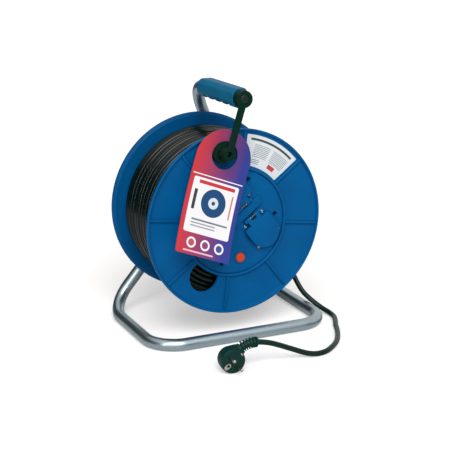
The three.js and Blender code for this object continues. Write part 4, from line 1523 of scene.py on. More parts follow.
@dataclass
class SocketBoard:
    """The blue panel that closes the drum's front, with its hinge bar and screws."""

    radius: float = 81.7
    face: float = PANEL_FACE
    thickness: float = 3.0
    bar_length: float = 108.0
    bar_width: float = 14.0
    bar_rise: float = 3.5
    column: float = SOCKET_COLUMN
    row: float = SOCKET_ROW
    hole: float = 21.7
    button: Point2 = BUTTON_SPOT
    screw_hole: float = 3.6

    def sockets(self) -> list[Point2]:
        """Columns and rows of the three sockets."""
        return [(self.column, self.row), (self.column, -self.row), (-self.column, -self.row)]

    def panel(self) -> Mesh:
        """The disc with its holes, the hinge bar, the button's collar and the screws' cups.

        Returns:
            Mesh data in millimetres.
        """
        outlines = [circle((0.0, 0.0), self.radius, 200)]
        outlines += [circle(panel_point(*spot), self.hole, 72) for spot in self.sockets()]
        outlines.append(circle(panel_point(*self.button), 8.0, 40))
        outlines += [circle(spot, self.screw_hole, 28) for spot in panel_screws()]
        disc = plate(outlines, self.face - self.thickness, self.face, 0.5, 2)
        half_length, half_width = self.bar_length / 2, self.bar_width / 2
        outline = rounded(rectangle(-half_length, -half_width, half_length, half_width), 1.5, 4)
        bar = plate([outline], self.face - 1.5, self.face + self.bar_rise, 1.2, 3)
        groove = rounded(rectangle(-half_length + 3.0, -2.6, half_length - 3.0, 2.6), 1.0, 3)
        step = plate([groove], self.face + 2.5, self.face + self.bar_rise + 0.5, 0.4, 2)
        for mesh in (bar, step):
            mesh.transform(turned(-45.0, "Y"))
        ring = lathe([(7.9, 73.0), (10.5, 73.0), (10.0, 75.5), (7.9, 75.5)], 48, 0.5)
        ring.transform(across(*panel_point(*self.button)))
        cup = [(2.1, 62.0), (5.1, 62.0), (5.1, 72.0), (self.screw_hole, 73.6),
               (self.screw_hole, 65.0), (2.1, 65.0)]
        cups = [moved(lathe(cup, 32, 0.4, 2), across(*spot)) for spot in panel_screws()]
        return joined([disc, bar, step, ring, *cups])

    @staticmethod
    def screw() -> Mesh:
        """A panel screw with a cross recess.

        Returns:
            Mesh data in millimetres.
        """
        head = lathe([
            (0.0, 51.3), (1.6, 52.8), (1.6, 65.3), (3.1, 65.3), (3.1, 66.7), (2.1, 67.5),
            (0.0, 67.5),
        ], 32, 0.3)
        return cut(head, plate([cross(1.8, 0.4)], 66.3, 69.0))

    def build(self) -> None:
        """Makes the panel and its screws."""
        add_piece("panel", self.panel(), BLUE, Body.DRUM, DRUM_PLACE, ["socket_panel"], 30.0)
        for i, spot in enumerate(panel_screws(), 1):
            place = DRUM_PLACE @ across(*spot)
            # The panel screws are coloured dark as painted shade of the holes they sit in.
            add_piece(
                f"screw_{i}", self.screw(), DARK_SCREW_AND_HOLE_SHADE, Body.DRUM, place, [f"panel_screw_{i}"]
            )


@dataclass
class LiddedSocket:
    """One socket: its insert, the sprung lid over it and the lid's hinge."""

    name: str
    body: Body
    column: float
    angle: float
    face: float = PANEL_FACE
    row: float = SOCKET_ROW
    half_width: float = 24.0
    tab: float = 11.75
    shoulder: float = 22.0
    thickness: float = 1.8
    top: float = 82.2
    hinge_row: float = 11.5
    hinge_out: float = 79.0
    barrel: float = 3.1
    insert_radius: float = 21.3
    well_radius: float = 19.75
    rise: float = 6.3
    well_depth: float = 17.5
    contact_hole: float = 2.8
    earth_slot: float = 18.55
    barrel_start: float = 4.75

    def place(self) -> Matrix:
        """From the socket's own axes, with the hinge bar along Z, to the reel's frame."""
        spot = panel_point(self.column, 0.0)
        return DRUM_PLACE @ across(*spot) @ turned(-self.angle, "Y")

    def hinge(self) -> Matrix:
        """From the hinge's own axis to the socket's axes."""
        return Matrix.Translation((self.hinge_row, -self.hinge_out, 0.0))

    def outline(self, inset: float) -> list[Point2]:
        """The lid's outline.

        Args:
            inset: How much smaller it is drawn.

        Returns:
            Points in the socket's own axes.
        """
        half = self.half_width - inset
        start = self.shoulder + inset
        corners = [(start, half), (start, -half), (self.row, -half), (self.row, half)]
        straight = [p for p in rounded(corners, 2.5, 4) if p[0] < self.row - 6.0]
        return straight + arc((self.row, 0.0), half, -90.0, 90.0, 48)

    def lid(self) -> Mesh:
        """The lid: its flap, skirt, notched tab, raised rim and hinge barrels.

        Returns:
            Mesh data in millimetres.
        """
        under = self.top - self.thickness
        flap = plate([self.outline(0.0)], under, self.top, 0.85, 4)
        rim = plate(
            [self.outline(3.2), self.outline(4.6)], self.top - 0.6, self.top + 0.3, 0.25, 2
        )
        skirt = plate(
            [self.outline(0.15), self.outline(1.8)], self.face + 0.3, under + 0.4, 0.2, 1
        )
        tab = plate(
            [rounded(rectangle(self.hinge_row, -self.tab, self.shoulder + 2.0, self.tab), 1.0, 3)],
            under - 0.6, self.top - 0.1, 0.5, 3,
        )
        notch = plate(
            [rectangle(0.0, -4.6, self.hinge_row + self.barrel + 1.0, 4.6)], 76.0, self.top + 2.0
        )
        parts = [flap, skirt, cut(tab, notch), rim]
        for low, high in ((-self.tab, -self.barrel_start), (self.barrel_start, self.tab)):
            loop = [(1.5, low), (self.barrel, low), (self.barrel, high), (1.5, high)]
            parts.append(moved(lathe(loop, 32, 0.4), self.hinge() @ turned(90.0, "X")))
        return joined(parts)

    def knuckles(self) -> Mesh:
        """The two ears on the panel that hold the pin's ends.

        Returns:
            Mesh data in millimetres.
        """
        reach, foot = self.barrel, self.face - 1.0
        outline = [
            (self.hinge_row + reach, self.hinge_out), (self.hinge_row + reach, foot),
            (self.hinge_row - reach, foot), (self.hinge_row - reach, self.hinge_out),
        ] + arc((self.hinge_row, self.hinge_out), reach, 180.0, 0.0, 14)[1:-1]
        ears = [plate([outline], low, low + 3.4, 0.35, 2) for low in (-15.45, 12.05)]
        return moved(joined(ears), turned(90.0, "X"))

    def insert(self) -> Mesh:
        """The round insert with its well, contact holes and earth slots.

        Returns:
            Mesh data in millimetres.
        """
        front = self.face + self.rise
        floor = front - self.well_depth
        wall = lathe([
            (self.well_radius - 0.6, 36.0), (self.insert_radius, 36.0),
            (self.insert_radius, front), (self.well_radius, front),
            (self.well_radius, floor), (self.well_radius - 0.6, floor),
        ], 80, 0.5)
        outlines = [circle((0.0, 0.0), self.well_radius, 80)]
        for side in (-1, 1):
            outlines.append(circle((0.0, side * CONTACT_REACH), self.contact_hole, 24))
        for slot in (-self.earth_slot, self.earth_slot):
            outlines.append(rectangle(slot - 0.9, -2.5, slot + 0.9, 2.5))
        base = plate(outlines, floor - 5.0, floor)
        key = rounded(rectangle(-15.0, -1.0, 15.0, 1.0), 0.8, 2)
        back = cylinder(self.well_radius, 36.0, floor - 12.0, steps=80)
        mesh = joined([wall, base, plate([key], floor - 0.5, floor + 1.0, 0.4), back])
        return moved(mesh, across(self.row, 0.0))

    def spring(self) -> Mesh:
        """The torsion spring's coils.

        Returns:
            Mesh data in millimetres.
        """
        turns, steps, half, radius = 6, 20, 3.9, 2.15
        route = []
        for i in range(turns * steps + 1):
            angle = 2 * math.pi * i / steps
            height = -half + 2 * half * i / (turns * steps)
            route.append(Vector((radius * math.cos(angle), radius * math.sin(angle), height)))
        return moved(sweep(route, 0.5, 10), self.hinge())

    def pin(self) -> Mesh:
        """The hinge pin."""
        bar = lathe([(0.0, -15.15), (1.25, -15.15), (1.25, 15.15), (0.0, 15.15)], 24, 0.4)
        return moved(bar, self.hinge() @ turned(90.0, "X"))

    @staticmethod
    def ear_screws() -> Mesh:
        """Small ring-shaped heads beside the lid, which hold the insert's frame.

        Returns:
            Mesh data in millimetres.
        """
        loop = [(0.9, 73.6), (2.5, 73.6), (2.5, 75.2), (1.6, 75.6), (0.9, 74.6)]
        parts = []
        for x, z in ((18.5, 17.6), (18.5, -17.6), (60.5, 20.8), (60.5, -20.8)):
            parts.append(moved(lathe(loop, 28, 0.25, 2), across(x, z)))
            parts.append(cylinder(1.2, 73.6, 74.5, (x, z), 20))
        return joined(parts)

    def build(self) -> None:
        """Makes the socket's pieces."""
        place, name = self.place(), self.name
        add_piece(f"flap_{name}", self.lid(), BLUE, self.body, place, [f"lid_{name}"])
        for piece, mesh, finish, solid in (
            ("lid_ears", self.knuckles(), BLUE, ""),
            ("insert", self.insert(), BLACK, "socket_insert"),
            ("hinge_spring", self.spring(), SPRING, "lid_spring"),
            ("hinge_pin", self.pin(), SCREW, "lid_pin"),
            ("ear_screws", self.ear_screws(), SCREW, ""),
        ):
            instead_of = [f"{solid}_{name}"] if solid else ()
            add_piece(f"{piece}_{name}", mesh, finish, Body.DRUM, place, instead_of)


@dataclass
class ResetButton:
    """The thermal cutout's domed button."""

    spot: Point2 = BUTTON_SPOT
    radius: float = 7.5
    front: float = 78.0

    def build(self) -> None:
        """Makes the button."""
        button = lathe([
            (0.0, 59.7), (2.0, 59.7), (2.0, 67.7), (8.8, 67.7), (8.8, 70.7), (self.radius, 70.7),
            (self.radius, 75.6), (6.9, 76.9), (5.2, 77.7), (2.8, self.front), (0.0, self.front),
        ], 64, 0.6)
        place = DRUM_PLACE @ across(*panel_point(*self.spot))
        add_piece("reset_button", button, ORANGE, Body.BUTTON, place, ["thermal_button"])


@dataclass
class CrankKnob:
    """The knob that the drum is wound with, and the pin it turns on."""

    orbit: float = KNOB_ORBIT
    angle: float = KNOB_ANGLE
    base_radius: float = 16.7
    base_front: float = 82.0
    grip_radius: float = 10.5
    front: float = 97.0

    def build(self) -> None:
        """Makes the knob and its pin."""
        place = DRUM_PLACE @ across(*polar(self.orbit, self.angle))
        knob = lathe([
            (6.7, 72.6), (self.base_radius, 72.6), (self.base_radius, self.base_front),
            (self.grip_radius + 1.4, self.base_front), (self.grip_radius, self.base_front + 3.5),
            (self.grip_radius - 0.4, self.front), (5.3, self.front), (5.3, self.front - 5.0),
            (3.3, self.front - 5.0), (3.3, 80.3), (6.7, 80.3),
        ], 96, 1.2, 5)
        add_piece("crank_knob", knob, BLACK, Body.KNOB, place, ["winding_knob"])
        pin = lathe([
            (0.0, 69.3), (3.0, 69.3), (3.0, 92.3), (4.9, 92.3), (4.9, 93.9), (3.6, 94.7),
            (0.0, 94.7),
        ], 40, 0.4)
        add_piece("crank_pin", pin, SCREW, Body.DRUM, place, ["knob_pin"])


@dataclass
class CableLoad:
    """The wound cable: layers of turns between the flanges."""

    radius: float = CABLE_RADIUS
    first: float = 84.5
    last: float = 123.4
    layers: int = 6
    turns: int = 15
    side: float = 63.3
    seed: int = 7
    top_level: float = 131.6
    top_sink: float = 8.4
    top_arc: float = 86.0
    top_steps: int = 48

    def layer(self, index: int, chance: random.Random) -> Mesh:
        """One layer, as a helix that wanders a little.

        Args:
            index: The layer's number from the barrel.
            chance: Source of its unevenness.

        Returns:
            Mesh data in the drum's axes.
        """
        outer = index == self.layers - 1
        steps = 80 if outer else 48
        base = self.first + (self.last - self.first) * index / (self.layers - 1)
        phases = [chance.uniform(0.0, 6.28) for _ in range(4)]
        way = 1 if index % 2 else -1
        wander = 0.9 if outer else 0.3
        route = []
        for i in range(self.turns * steps + 1):
            turn = i / steps
            angle = 2 * math.pi * turn * way
            across = -self.side + 2 * self.side * turn / self.turns
            across += 0.32 * math.sin(3.1 * turn + phases[0]) * math.sin(angle + phases[1])
            level = base + wander * math.sin(1.7 * turn + phases[2])
            level += 0.12 * math.sin(angle + phases[3])
            across = max(-self.side, min(self.side, across))
            route.append(Vector((level * math.cos(angle), across, level * math.sin(angle))))
        return sweep(route, self.radius, 14 if outer else 10)

    def last_turn(self) -> Mesh:
        """The part turn on top, which leads to the loose end.

        Returns:
            Mesh data in millimetres.
        """
        route = []
        for i in range(self.top_steps + 1):
            share = i / self.top_steps
            angle = math.radians(self.top_arc * share)
            sink = max(0.0, share - 0.15) / 0.85
            level = self.top_level - self.top_sink * sink * sink * (3 - 2 * sink)
            x, z = level * math.cos(angle), level * math.sin(angle)
            route.append(Vector((x, 20.0 + 5.0 * share, z)))
        return sweep(route, self.radius, 16)

    def build(self) -> None:
        """Makes every layer as one piece, and the part turn on top."""
        chance = random.Random(self.seed)
        layers = joined(self.layer(i, chance) for i in range(self.layers))
        # The wound layers wear the darker sheath, which paints the shade between the flanges.
        add_piece("wound_cable", layers, CABLE, Body.DRUM, DRUM_PLACE, ["cable_winding"], 60.0)
        add_piece("wound_cable_top", self.last_turn(), CABLE, Body.DRUM, AXLE_PLACE, (), 60.0)


@dataclass
class MainsPlug:
    """The angled two-pin plug, in axes with +Z out of its face and +X along its neck."""

    centre: Vector = field(default_factory=lambda: Vector((-74.2, -215.4, 18.7)))
    yaw: float = 4.0
    climb: float = 36.0
    face_radius: float = 18.5
    face_depth: float = 13.0
    axis_depth: float = 16.0
    neck_radius: float = 9.0
    neck_length: float = 23.0
    earth_reach: float = -10.0
    earth_well: float = 2.1
    pin_radius: float = 2.4
    pin_length: float = 19.0
    boot_ribs: float = 6.0
    boot_radius: float = 8.6
    boot_core: float = 5.7
    boot_steps: int = 96

    def facing(self) -> Vector:
        """Direction of the pins."""
        return Vector((-math.sin(math.radians(self.yaw)), -math.cos(math.radians(self.yaw)), 0.0))

    def neck(self) -> Vector:
        """Direction of the neck, from the face's axis to the cable.

        Returns:
            A unit vector.
        """
        yaw, climb = math.radians(self.yaw), math.radians(self.climb)
        level = Vector((math.cos(yaw), -math.sin(yaw), 0.0))
        return level * math.cos(climb) + Vector((0.0, 0.0, math.sin(climb)))

    def place(self) -> Matrix:
        """From the plug's axes to the reel's frame.

        Returns:
            The placing, which turns millimetres into metres.
        """
        facing, neck = self.facing(), self.neck()
        across = facing.cross(neck)
        turn = Matrix((neck, across, facing)).transposed().to_4x4()
        return MILLIMETRES @ Matrix.Translation(self.centre) @ turn

    @staticmethod
    def upright(
        profile: Sequence[Point2], steps: int, edge: float = 0.0, fineness: int = 3
    ) -> Mesh:
        """A turned form along the plug's +Z, from a loop of (radius, height)."""
        flipped = [(radius, -height) for radius, height in profile]
        return moved(lathe(flipped, steps, edge, fineness), turned(90.0, "X"))

    def shell(self) -> Mesh:
        """The moulded body: face disc, boot and neck run into each other.

        Returns:
            Mesh data in millimetres.
        """
        root = -self.face_depth - 2.0
        disc = self.upright([
            (0.0, root), (self.face_radius - 0.8, root), (self.face_radius, -self.face_depth),
            (self.face_radius, 0.0), (0.0, 0.0),
        ], 72, 0.8)
        spread = math.degrees(math.acos((self.face_radius - self.neck_radius) / self.neck_length))
        outline = arc((0.0, 0.0), self.face_radius - 0.6, spread, 360.0 - spread, 56)
        end = self.neck_length - 3.0
        outline += [(end, -self.neck_radius), (end, self.neck_radius)]
        boot = plate([outline], self.axis_depth - 10.0, self.axis_depth + 10.0, 8.0, 5)
        boot.transform(turned(90.0, "X"))
        neck = self.upright([
            (0.0, 0.0), (self.neck_radius - 0.4, 0.0), (self.neck_radius - 0.4, self.neck_length),
            (0.0, self.neck_length),
        ], 72, 0.6)
        neck.transform(Matrix.Translation((0.0, 0.0, -self.axis_depth)) @ turned(90.0, "Y"))
        shell = bpy.data.objects.new("shell", joined([disc, boot, neck]))
        remesh = shell.modifiers.new("mould", "REMESH")
        remesh.mode = "VOXEL"
        remesh.voxel_size = 0.6
        smooth = shell.modifiers.new("ease", "CORRECTIVE_SMOOTH")
        smooth.iterations = 6
        smooth.use_only_smooth = True
        hole = self.earth_well
        well = self.upright([(0.0, -10.0), (hole, -10.0), (hole, 1.0), (0.0, 1.0)], 28)
        return cut(evaluated(shell), moved(well, across(self.earth_reach, 0.0)))

    def face_ring(self) -> Mesh:
        """The raised ring on the face."""
        inner, outer = self.face_radius - 2.2, self.face_radius - 0.9
        return self.upright([(inner, -0.8), (outer, -0.8), (outer, 0.0), (inner, 0.0)], 72, 0.3, 2)

    def pin(self, side: int) -> Mesh:
        """One contact pin, with its ends rounded.

        Args:
            side: 1 for the upper pin and -1 for the lower one.

        Returns:
            Mesh data in millimetres.
        """
        radius, tip = self.pin_radius, self.pin_length
        pin = self.upright([(0.0, -7.4), (radius, -7.4), (radius, tip), (0.0, tip)], 36, 1.1, 5)
        return moved(pin, Matrix.Translation((0.0, side * CONTACT_REACH, 0.0)))

    def collar(self, side: int) -> Mesh:
        """The shallow collar that a pin stands in.

        Args:
            side: 1 for the upper pin and -1 for the lower one.

        Returns:
            Mesh data in millimetres.
        """
        collar = self.upright(
            [(2.45, -0.6), (4.2, -0.6), (3.9, 0.35), (2.45, 0.35)], 32, 0.2, 2
        )
        return moved(collar, Matrix.Translation((0.0, side * CONTACT_REACH, 0.0)))

    def side_clip(self, side: int) -> Mesh:
        """The end of an earth strip, let into the rim between the pins and across from them."""
        clip = plate([rounded(rectangle(-1.1, -2.4, 1.1, 2.4), 0.9, 3)], -0.35, 0.35, 0.3, 2)
        return moved(clip, across(side * (self.face_radius - 2.6), 0.0) @ turned(90.0, "X"))

    def earth_plate(self) -> Mesh:
        """The round-ended earth plate in the face, round its well.

        Returns:
            Mesh data in millimetres.
        """
        outline = rounded(rectangle(-17.0, -3.5, -6.0, 3.5), 3.3, 8)
        hole = circle((self.earth_reach, 0.0), self.earth_well, 28)
        return moved(plate([outline, hole], -0.8, 0.25, 0.15, 2), turned(90.0, "X"))

    def relief_route(self, cable_end: Vector, cable_next: Vector) -> list[Vector]:
        """The strain relief's centreline, from the neck to the cable.

        Args:
            cable_end: Where the cable starts.
            cable_next: The cable's next point.

        Returns:
            Points in the reel's millimetres.
        """
        start = self.centre - self.facing() * self.axis_depth
        start += self.neck() * (self.neck_length + SEAT_GAP)
        way = (cable_end - cable_next).normalized()
        end = cable_end + way * (2.0 * SEAT_GAP)
        third = (end - start).length / 3
        leaving, arriving = start + self.neck() * third, end + way * third
        points = []
        for i in range(self.boot_steps + 1):
            t = i / self.boot_steps
            points.append(
                start * (1 - t) ** 3 + leaving * (3 * t * (1 - t) ** 2)
                + arriving * (3 * t**2 * (1 - t)) + end * t**3
            )
        return points

    def relief(self, route: Sequence[Vector]) -> Mesh:
        """The ribbed sleeve, which tapers towards the cable.

        Args:
            route: Its centreline.

        Returns:
            Mesh data in millimetres.
        """
        radii = []
        for i in range(len(route)):
            t = i / (len(route) - 1)
            ridge = 0.4 < (t * self.boot_ribs) % 1.0 < 0.88
            radii.append(self.boot_radius - 0.8 * t if ridge else self.boot_core - 0.4 * t)
        return sweep(route, radii, 36)

    def build(self, cable_end: Vector, cable_next: Vector) -> list[bpy.types.Object]:
        """Makes the plug.

        Args:
            cable_end: Where the cable meets the strain relief.
            cable_next: The cable's next point.

        Returns:
            The pieces that go with the cable.
        """
        place = self.place()
        rows: list[tuple] = [
            ("plug_shell", self.shell(), PLUG_BLACK, place, ["plug_body"], 60.0),
            ("plug_face_ring", self.face_ring(), PLUG_BLACK, place),
        ]
        for side, word in ((1, "upper"), (-1, "lower")):
            rows += [
                (f"contact_pin_{word}", self.pin(side), NICKEL, place, [f"plug_pin_{word}"]),
                (f"pin_collar_{word}", self.collar(side), PLUG_BLACK, place),
            ]
        for side, word in ((1, "right"), (-1, "left")):
            rows.append((f"earth_clip_{word}", self.side_clip(side), NICKEL, place))
        boot = self.relief(self.relief_route(cable_end, cable_next))
        rows += [
            ("plug_boot", boot, PLUG_BLACK, ROOT_PLACE, ["strain_relief"], 60.0),
            ("earth_plate", self.earth_plate(), NICKEL, place, ["plug_earth_plate"]),
        ]
        return [
            add_piece(name, mesh, finish, Body.STAND, *rest) for name, mesh, finish, *rest in rows
        ]


@dataclass
class LooseCable:
    """The free end of the cable, from the drum along the floor to the plug."""

    radius: float = CABLE_RADIUS
    knots: tuple[tuple[float, float, float], ...] = (
        (132, 30, 181), (132.1, 29.5, 150), (133, 27, 120), (134.8, 22, 92), (137.6, 12, 68),
        (141.8, -1, 47), (147.5, -14, 31), (153.6, -25, 22.2), (160, -35, 15.5), (167, -46, 9.3),
        (172.5, -58, 5.4), (172, -74, 4.2), (163.5, -94, 4.2), (155, -110, 4.2),
        (146, -130, 4.2), (134.5, -152, 4.2), (119.5, -174, 4.2), (101, -192, 4.2),
        (84, -203.5, 4.2), (68, -206.5, 4.4), (56, -205, 6), (44, -203.5, 10),
        (31, -203.5, 15.8), (17, -204.2, 22.2), (3, -204.6, 28.4), (-9, -204.2, 33),
        (-20.5, -204.1, 36.2), (-31.4, -204.2, 38.2),
    )

    def route(self, steps: int = 8) -> list[Vector]:
        """A smooth line through the knots, eased by the root of their spacing.

        Args:
            steps: Points in each stretch.

        Returns:
            Points in the reel's millimetres.
        """
        knots = [Vector(knot) for knot in self.knots]
        first = knots[0] * 2 - knots[1]
        last = knots[-1] * 2 - knots[-2]
        line = [first, *knots, last]
        points = []
        for a, b, c, d in zip(line, line[1:], line[2:], line[3:]):
            spans = [math.sqrt((q - p).length) for p, q in ((a, b), (b, c), (c, d))]
            leave = (b - a) / spans[0] - (c - a) / (spans[0] + spans[1]) + (c - b) / spans[1]
            arrive = (c - b) / spans[1] - (d - b) / (spans[1] + spans[2]) + (d - c) / spans[2]
            leave, arrive = leave * spans[1], arrive * spans[1]
            for i in range(steps):
                t = i / steps
                points.append(
                    b
                    + leave * t
                    + (c * 3 - b * 3 - leave * 2 - arrive) * t**2
                    + (b * 2 - c * 2 + leave + arrive) * t**3
                )
        points.append(knots[-1])
        return points

    def build(self) -> None:
        """Makes the cable and its plug."""
        route = self.route()
        tail = add_piece(
            "loose_cable", sweep(route, self.radius, 20), CORD, Body.STAND, ROOT_PLACE,
            ["cable_tail"], 60.0,
        )
        pieces = MainsPlug().build(Vector(self.knots[-1]), Vector(self.knots[-2]))


@dataclass
class HangCard:
    """The printed card that hangs by its round hole on the winding knob."""

    hole: float = 21.5
    half_width: float = 46.3
    head: float = 7.5
    length: float = 155.0
    thickness: float = 0.8
    turn: float = 21.2
    lean: float = 4.86
    bow: float = 24.0
    shift: float = 2.2
    back: float = 81.0
    knob_orbit: float = KNOB_ORBIT
    knob_angle: float = KNOB_ANGLE
    knob_radius: float = 17.0

    def finish(self) -> Print:
        """A blended ground with a white panel, rings, bars and three discs.

        Returns:
            The card's print.
        """
        white, blue, grey = (250, 248, 250), (8, 70, 120), (160, 164, 174)
        discs = ((-22.0, (196, 86, 96)), (2.0, (140, 70, 120)), (26.0, (70, 74, 150)))
        marks = (
            Mark((0.0, -36.5), (43.0, 0.8), 0.4, white),
            Mark((0.0, -82.0), (39.0, 41.0), 3.0, white),
            Mark((2.0, -74.0), (21.0, 21.0), 21.0, blue),
            Mark((2.0, -74.0), (8.5, 8.5), 8.5, (224, 232, 240)),
            Mark((2.0, -74.0), (3.0, 3.0), 3.0, blue),
            Mark((2.0, -47.0), (31.0, 2.6), 0.6, (206, 52, 56)),
            Mark((-31.0, -74.0), (2.6, 15.0), 0.4, (50, 54, 62)),
            Mark((32.0, -74.0), (1.2, 18.0), 1.0, (214, 120, 110)),
            Mark((2.0, -103.0), (31.0, 1.3), 0.4, (120, 126, 138)),
            Mark((-8.0, -108.0), (21.0, 1.0), 0.4, grey),
            Mark((-8.0, -112.5), (21.0, 1.0), 0.4, grey),
            *(Mark((x, -137.0), (8.0, 8.0), 8.0, white) for x, _ in discs),
            *(Mark((x, -137.0), (5.2, 5.2), 5.2, colour) for x, colour in discs),
            Mark((-8.0, -149.5), (26.0, 1.2), 1.0, (244, 196, 200)),
        )
        return Print(
            "printed card", (44, 56, 146), (146, 56, 108), (222, 52, 44), 36.0, -50.0, marks,
            slant=(1.0, -0.01),
        )

    def mesh(self) -> Mesh:
        """The card, cut into a grid so that it can bow a little.

        Returns:
            Mesh data in millimetres.
        """
        outline = [
            (-self.half_width + 2.0, -self.length), (self.half_width - 2.0, -self.length),
            (self.half_width, -self.length + 2.0),
        ]
        outline += arc((0.0, -self.head), self.half_width, 0.0, 180.0, 72)
        outline.append((-self.half_width, -self.length + 2.0))
        mesh = plate([outline, circle((0.0, 0.0), self.hole, 72)], 0.0, self.thickness)
        bm = bmesh.new()
        bm.from_mesh(mesh)
        cuts = [(Vector((0.0, 0.0, 1.0)), height) for height in range(-150, 45, 8)]
        cuts += [(Vector((1.0, 0.0, 0.0)), column) for column in range(-45, 46, 9)]
        for normal, level in cuts:
            everything = [*bm.verts, *bm.edges, *bm.faces]
            bmesh.ops.bisect_plane(bm, geom=everything, plane_co=normal * level, plane_no=normal)
        for vert in bm.verts:
            share = vert.co.x / self.half_width
            drop = max(0.0, -vert.co.z / self.length)
            vert.co.y -= self.bow * drop * drop + 1.2 * share * share * drop
        return finished(bm)

    def build(self) -> None:
        """Hangs the card on the knob."""
        x, z = polar(self.knob_orbit, self.knob_angle - DRUM_TURN)
        sag = self.hole - self.knob_radius
        hang = DRUM_CENTRE + Vector((x + self.shift, -self.back, z - sag))
        place = Matrix.Translation(hang * METRES) @ turned(self.turn, "Y")
        add_sheet("hang_card", self.mesh(), self.finish(), place @ turned(-self.lean, "X"))


@dataclass
class DataPlate:
    """The white sheet stuck between two ribs of the front flange, with rules and two bars."""

    inner: float = 88.6
    outer: float = 136.6
    first: float = 45.0
    last: float = 90.0
    margin: float = 4.6
    face: float = FLANGE_FACE

    def build(self) -> None:
        """Makes the sheet in axes along its own radius, so that its rules lie across it."""
        middle = (self.first + self.last) / 2
        half = (self.last - self.first) / 2

        def side(radius: float) -> float:
            """Half angle that keeps the margin to the ribs."""
            return half - math.degrees(math.asin(self.margin / radius))

        wide, narrow = side(self.outer), side(self.inner)
        outline = arc((0.0, 0.0), self.outer, 90.0 - wide, 90.0 + wide, 36)
        outline += arc((0.0, 0.0), self.inner, 90.0 + narrow, 90.0 - narrow, 24)
        mesh = plate([rounded(outline, 2.0, 3)], self.face + 0.02, self.face + 0.25)
        grey: Colour = (120, 128, 134)
        ruled = (
            Mark((-13.0, 113.5), (13.0, 9.5), 0.6, grey),
            Mark((20.0, 113.5), (14.0, 9.5), 0.6, grey),
            Mark((-18.0, 97.0), (8.0, 4.6), 0.6, (84, 92, 98)),
        )
        marks = (
            Mark((0.0, 130.0), (34.0, 1.7), 0.5, (60, 68, 72)),
            Mark((16.0, 98.0), (7.5, 3.4), 0.6, (200, 62, 66)),
        )
        sheet = Print(
            "white data sheet", (232, 238, 240), (228, 235, 238), (226, 233, 236), 140.0, 80.0,
            marks, ruled, 2.6, 0.4, arc_radius=112.0,
        )
        place = Matrix.Translation(DRUM_CENTRE * METRES) @ turned(DRUM_TURN + 90.0 - middle, "Y")
        add_sheet("data_plate", mesh, sheet, place)


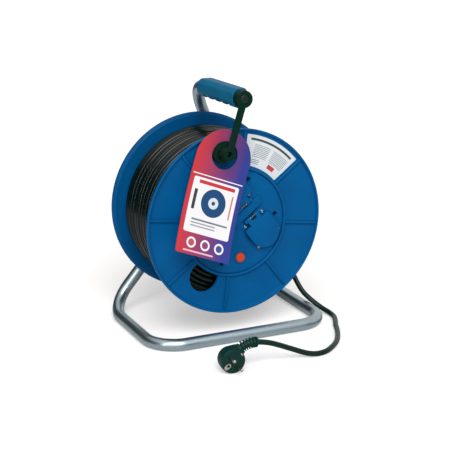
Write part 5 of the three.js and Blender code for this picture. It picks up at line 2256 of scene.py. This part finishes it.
@dataclass
class Studio:
    """Floor, light and camera."""

    eye: Vector = field(default_factory=lambda: Vector((-0.8253, -1.7871, 0.7190)))
    look: Vector = field(default_factory=lambda: Vector((0.4091, 0.8702, -0.2746)))
    lens: float = 103.54
    film: float = 36.0
    ambient: float = 0.36

    @staticmethod
    def put(name: str, data: bpy.types.ID, spot: Vector, look: Vector) -> bpy.types.Object:
        """Stands a camera or a lamp in the scene.

        Args:
            name: The new object's name.
            data: Its camera or lamp data.
            spot: Where it stands.
            look: Which way it looks.

        Returns:
            The object.
        """
        made = linked(name, data)
        made.location = spot
        made.rotation_euler = look.to_track_quat("-Z", "Y").to_euler()
        return made

    def camera(self) -> None:
        """The camera at the photograph's viewing angle."""
        data = bpy.data.cameras.new("camera")
        data.lens = self.lens
        data.sensor_width = self.film
        data.sensor_fit = "HORIZONTAL"
        data.clip_end = 60.0
        bpy.context.scene.camera = self.put("camera", data, self.eye, self.look)

    def floor(self) -> None:
        """A wide pale floor that shows white to the camera and keeps the shadow."""
        mesh = bpy.data.meshes.new("floor")
        half = 18.0
        mesh.from_pydata(
            [(-half, -half, 0.0), (half, -half, 0.0), (half, half, 0.0), (-half, half, 0.0)],
            [], [(0, 1, 2, 3)],
        )
        made = empty_material("white floor")
        board = Board(made.node_tree)
        seen = board.add("ShaderNodeLightPath").outputs["Is Camera Ray"]
        lit = board.add("ShaderNodeBsdfDiffuse", {"Color": (0.8, 0.8, 0.8, 1.0)})
        shown = board.add("ShaderNodeBsdfDiffuse", {"Color": (1.0, 0.972, 0.955, 1.0)})
        glow = board.add("ShaderNodeEmission", {"Strength": self.ambient})
        total = board.add("ShaderNodeAddShader")
        board.link(shown.outputs[0], total.inputs[0])
        board.link(glow.outputs[0], total.inputs[1])
        mix = board.add("ShaderNodeMixShader")
        board.link(seen, mix.inputs[0])
        board.link(lit.outputs[0], mix.inputs[1])
        board.link(total.outputs[0], mix.inputs[2])
        board.link(mix.outputs[0], board.add("ShaderNodeOutputMaterial").inputs[0])
        mesh.materials.append(made)
        floor = linked("floor", mesh)

    def world(self) -> None:
        """Even white surroundings, brighter in reflections than as light."""
        world = bpy.data.worlds.new("studio")
        world.use_nodes = True
        world.node_tree.nodes.clear()
        board = Board(world.node_tree)
        path = board.add("ShaderNodeLightPath")
        bright = board.math(
            "MAXIMUM", path.outputs["Is Camera Ray"], path.outputs["Is Glossy Ray"]
        )
        strength = board.math("MULTIPLY_ADD", bright, 1.0 - self.ambient, self.ambient)
        back = board.add("ShaderNodeBackground")
        board.link(strength, back.inputs["Strength"])
        board.link(back.outputs[0], board.add("ShaderNodeOutputWorld").inputs[0])
        bpy.context.scene.world = world

    def sun(self, spot: Vector, strength: float, spread: float) -> None:
        """The key light, even over the whole floor.

        Args:
            spot: A point that it shines from towards the origin.
            strength: Its strength.
            spread: Its angle in degrees, which softens the shadows.
        """
        data = bpy.data.lights.new("key", "SUN")
        data.energy = strength
        data.angle = math.radians(spread)
        self.put("key", data, spot, -spot)

    def lamp(self, name: str, spot: Vector, power: float, width: float, height: float) -> None:
        """An area lamp that looks at the drum.

        Args:
            name: The lamp's name.
            spot: Where it stands.
            power: Its power in watts.
            width: Its width.
            height: Its height.
        """
        data = bpy.data.lights.new(name, "AREA")
        data.shape = "RECTANGLE"
        data.energy = power
        data.size = width
        data.size_y = height
        self.put(name, data, spot, LAMP_AIM - spot)

    def dark_card(self, name: str, spot: Vector, width: float, height: float) -> None:
        """A dark board that only shows in reflections, as a photographer's flag does.

        Args:
            name: The board's name.
            spot: Its centre.
            width: Its width.
            height: Its height.
        """
        mesh = bpy.data.meshes.new(name)
        x, z = width / 2, height / 2
        mesh.from_pydata([(-x, 0, -z), (x, 0, -z), (x, 0, z), (-x, 0, z)], [], [(0, 1, 2, 3)])
        made = bpy.data.materials.get("dark board") or bpy.data.materials.new("dark board")
        made.use_nodes = True
        shader = made.node_tree.nodes["Principled BSDF"]
        shader.inputs["Base Color"].default_value = (0.01, 0.02, 0.02, 1.0)
        mesh.materials.append(made)
        board = linked(name, mesh)
        board.location = spot
        board.rotation_euler = (spot - LAMP_AIM).to_track_quat("Y", "Z").to_euler()
        board.visible_camera = False
        board.visible_diffuse = False
        board.visible_shadow = False

    def build(self) -> None:
        """Sets up the studio."""
        self.camera()
        self.floor()
        self.world()
        self.sun(Vector((-0.3, -1.0, 1.0)), 2.0, 40.0)
        self.lamp("strip", Vector((-1.5, -1.1, 0.7)), 6.0, 0.07, 1.3)
        self.dark_card("flag_left", Vector((-1.9, -0.4, 0.6)), 2.4, 1.6)
        self.dark_card("flag_back", Vector((-0.55, 0.6, 0.32)), 1.5, 0.9)
        self.dark_card("flag_right", Vector((1.9, -1.9, 0.4)), 1.2, 0.9)
        bpy.context.scene.view_settings.view_transform = "Standard"


def main() -> None:
    """Builds the reel's looks in order."""
    logging.basicConfig(level=logging.INFO, format="%(name)s: %(message)s")
    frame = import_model()
    Studio().build()
    LooseCable().build()
    StandFrame().build()
    CarryHandle().build()
    DrumShell().build()
    HubFittings().build()
    SocketBoard().build()
    for name, body, column, angle in (
        ("right", Body.LID_RIGHT, SOCKET_COLUMN, -45.0),
        ("top", Body.LID_TOP, SOCKET_COLUMN, 135.0),
        ("left", Body.LID_LEFT, -SOCKET_COLUMN, 135.0),
    ):
        LiddedSocket(name, body, column, angle).build()
    ResetButton().build()
    CrankKnob().build()
    CableLoad().build()
    DataPlate().build()
    HangCard().build()
    KeptSolids(frame).dress()


if __name__ == "__main__":
    main()
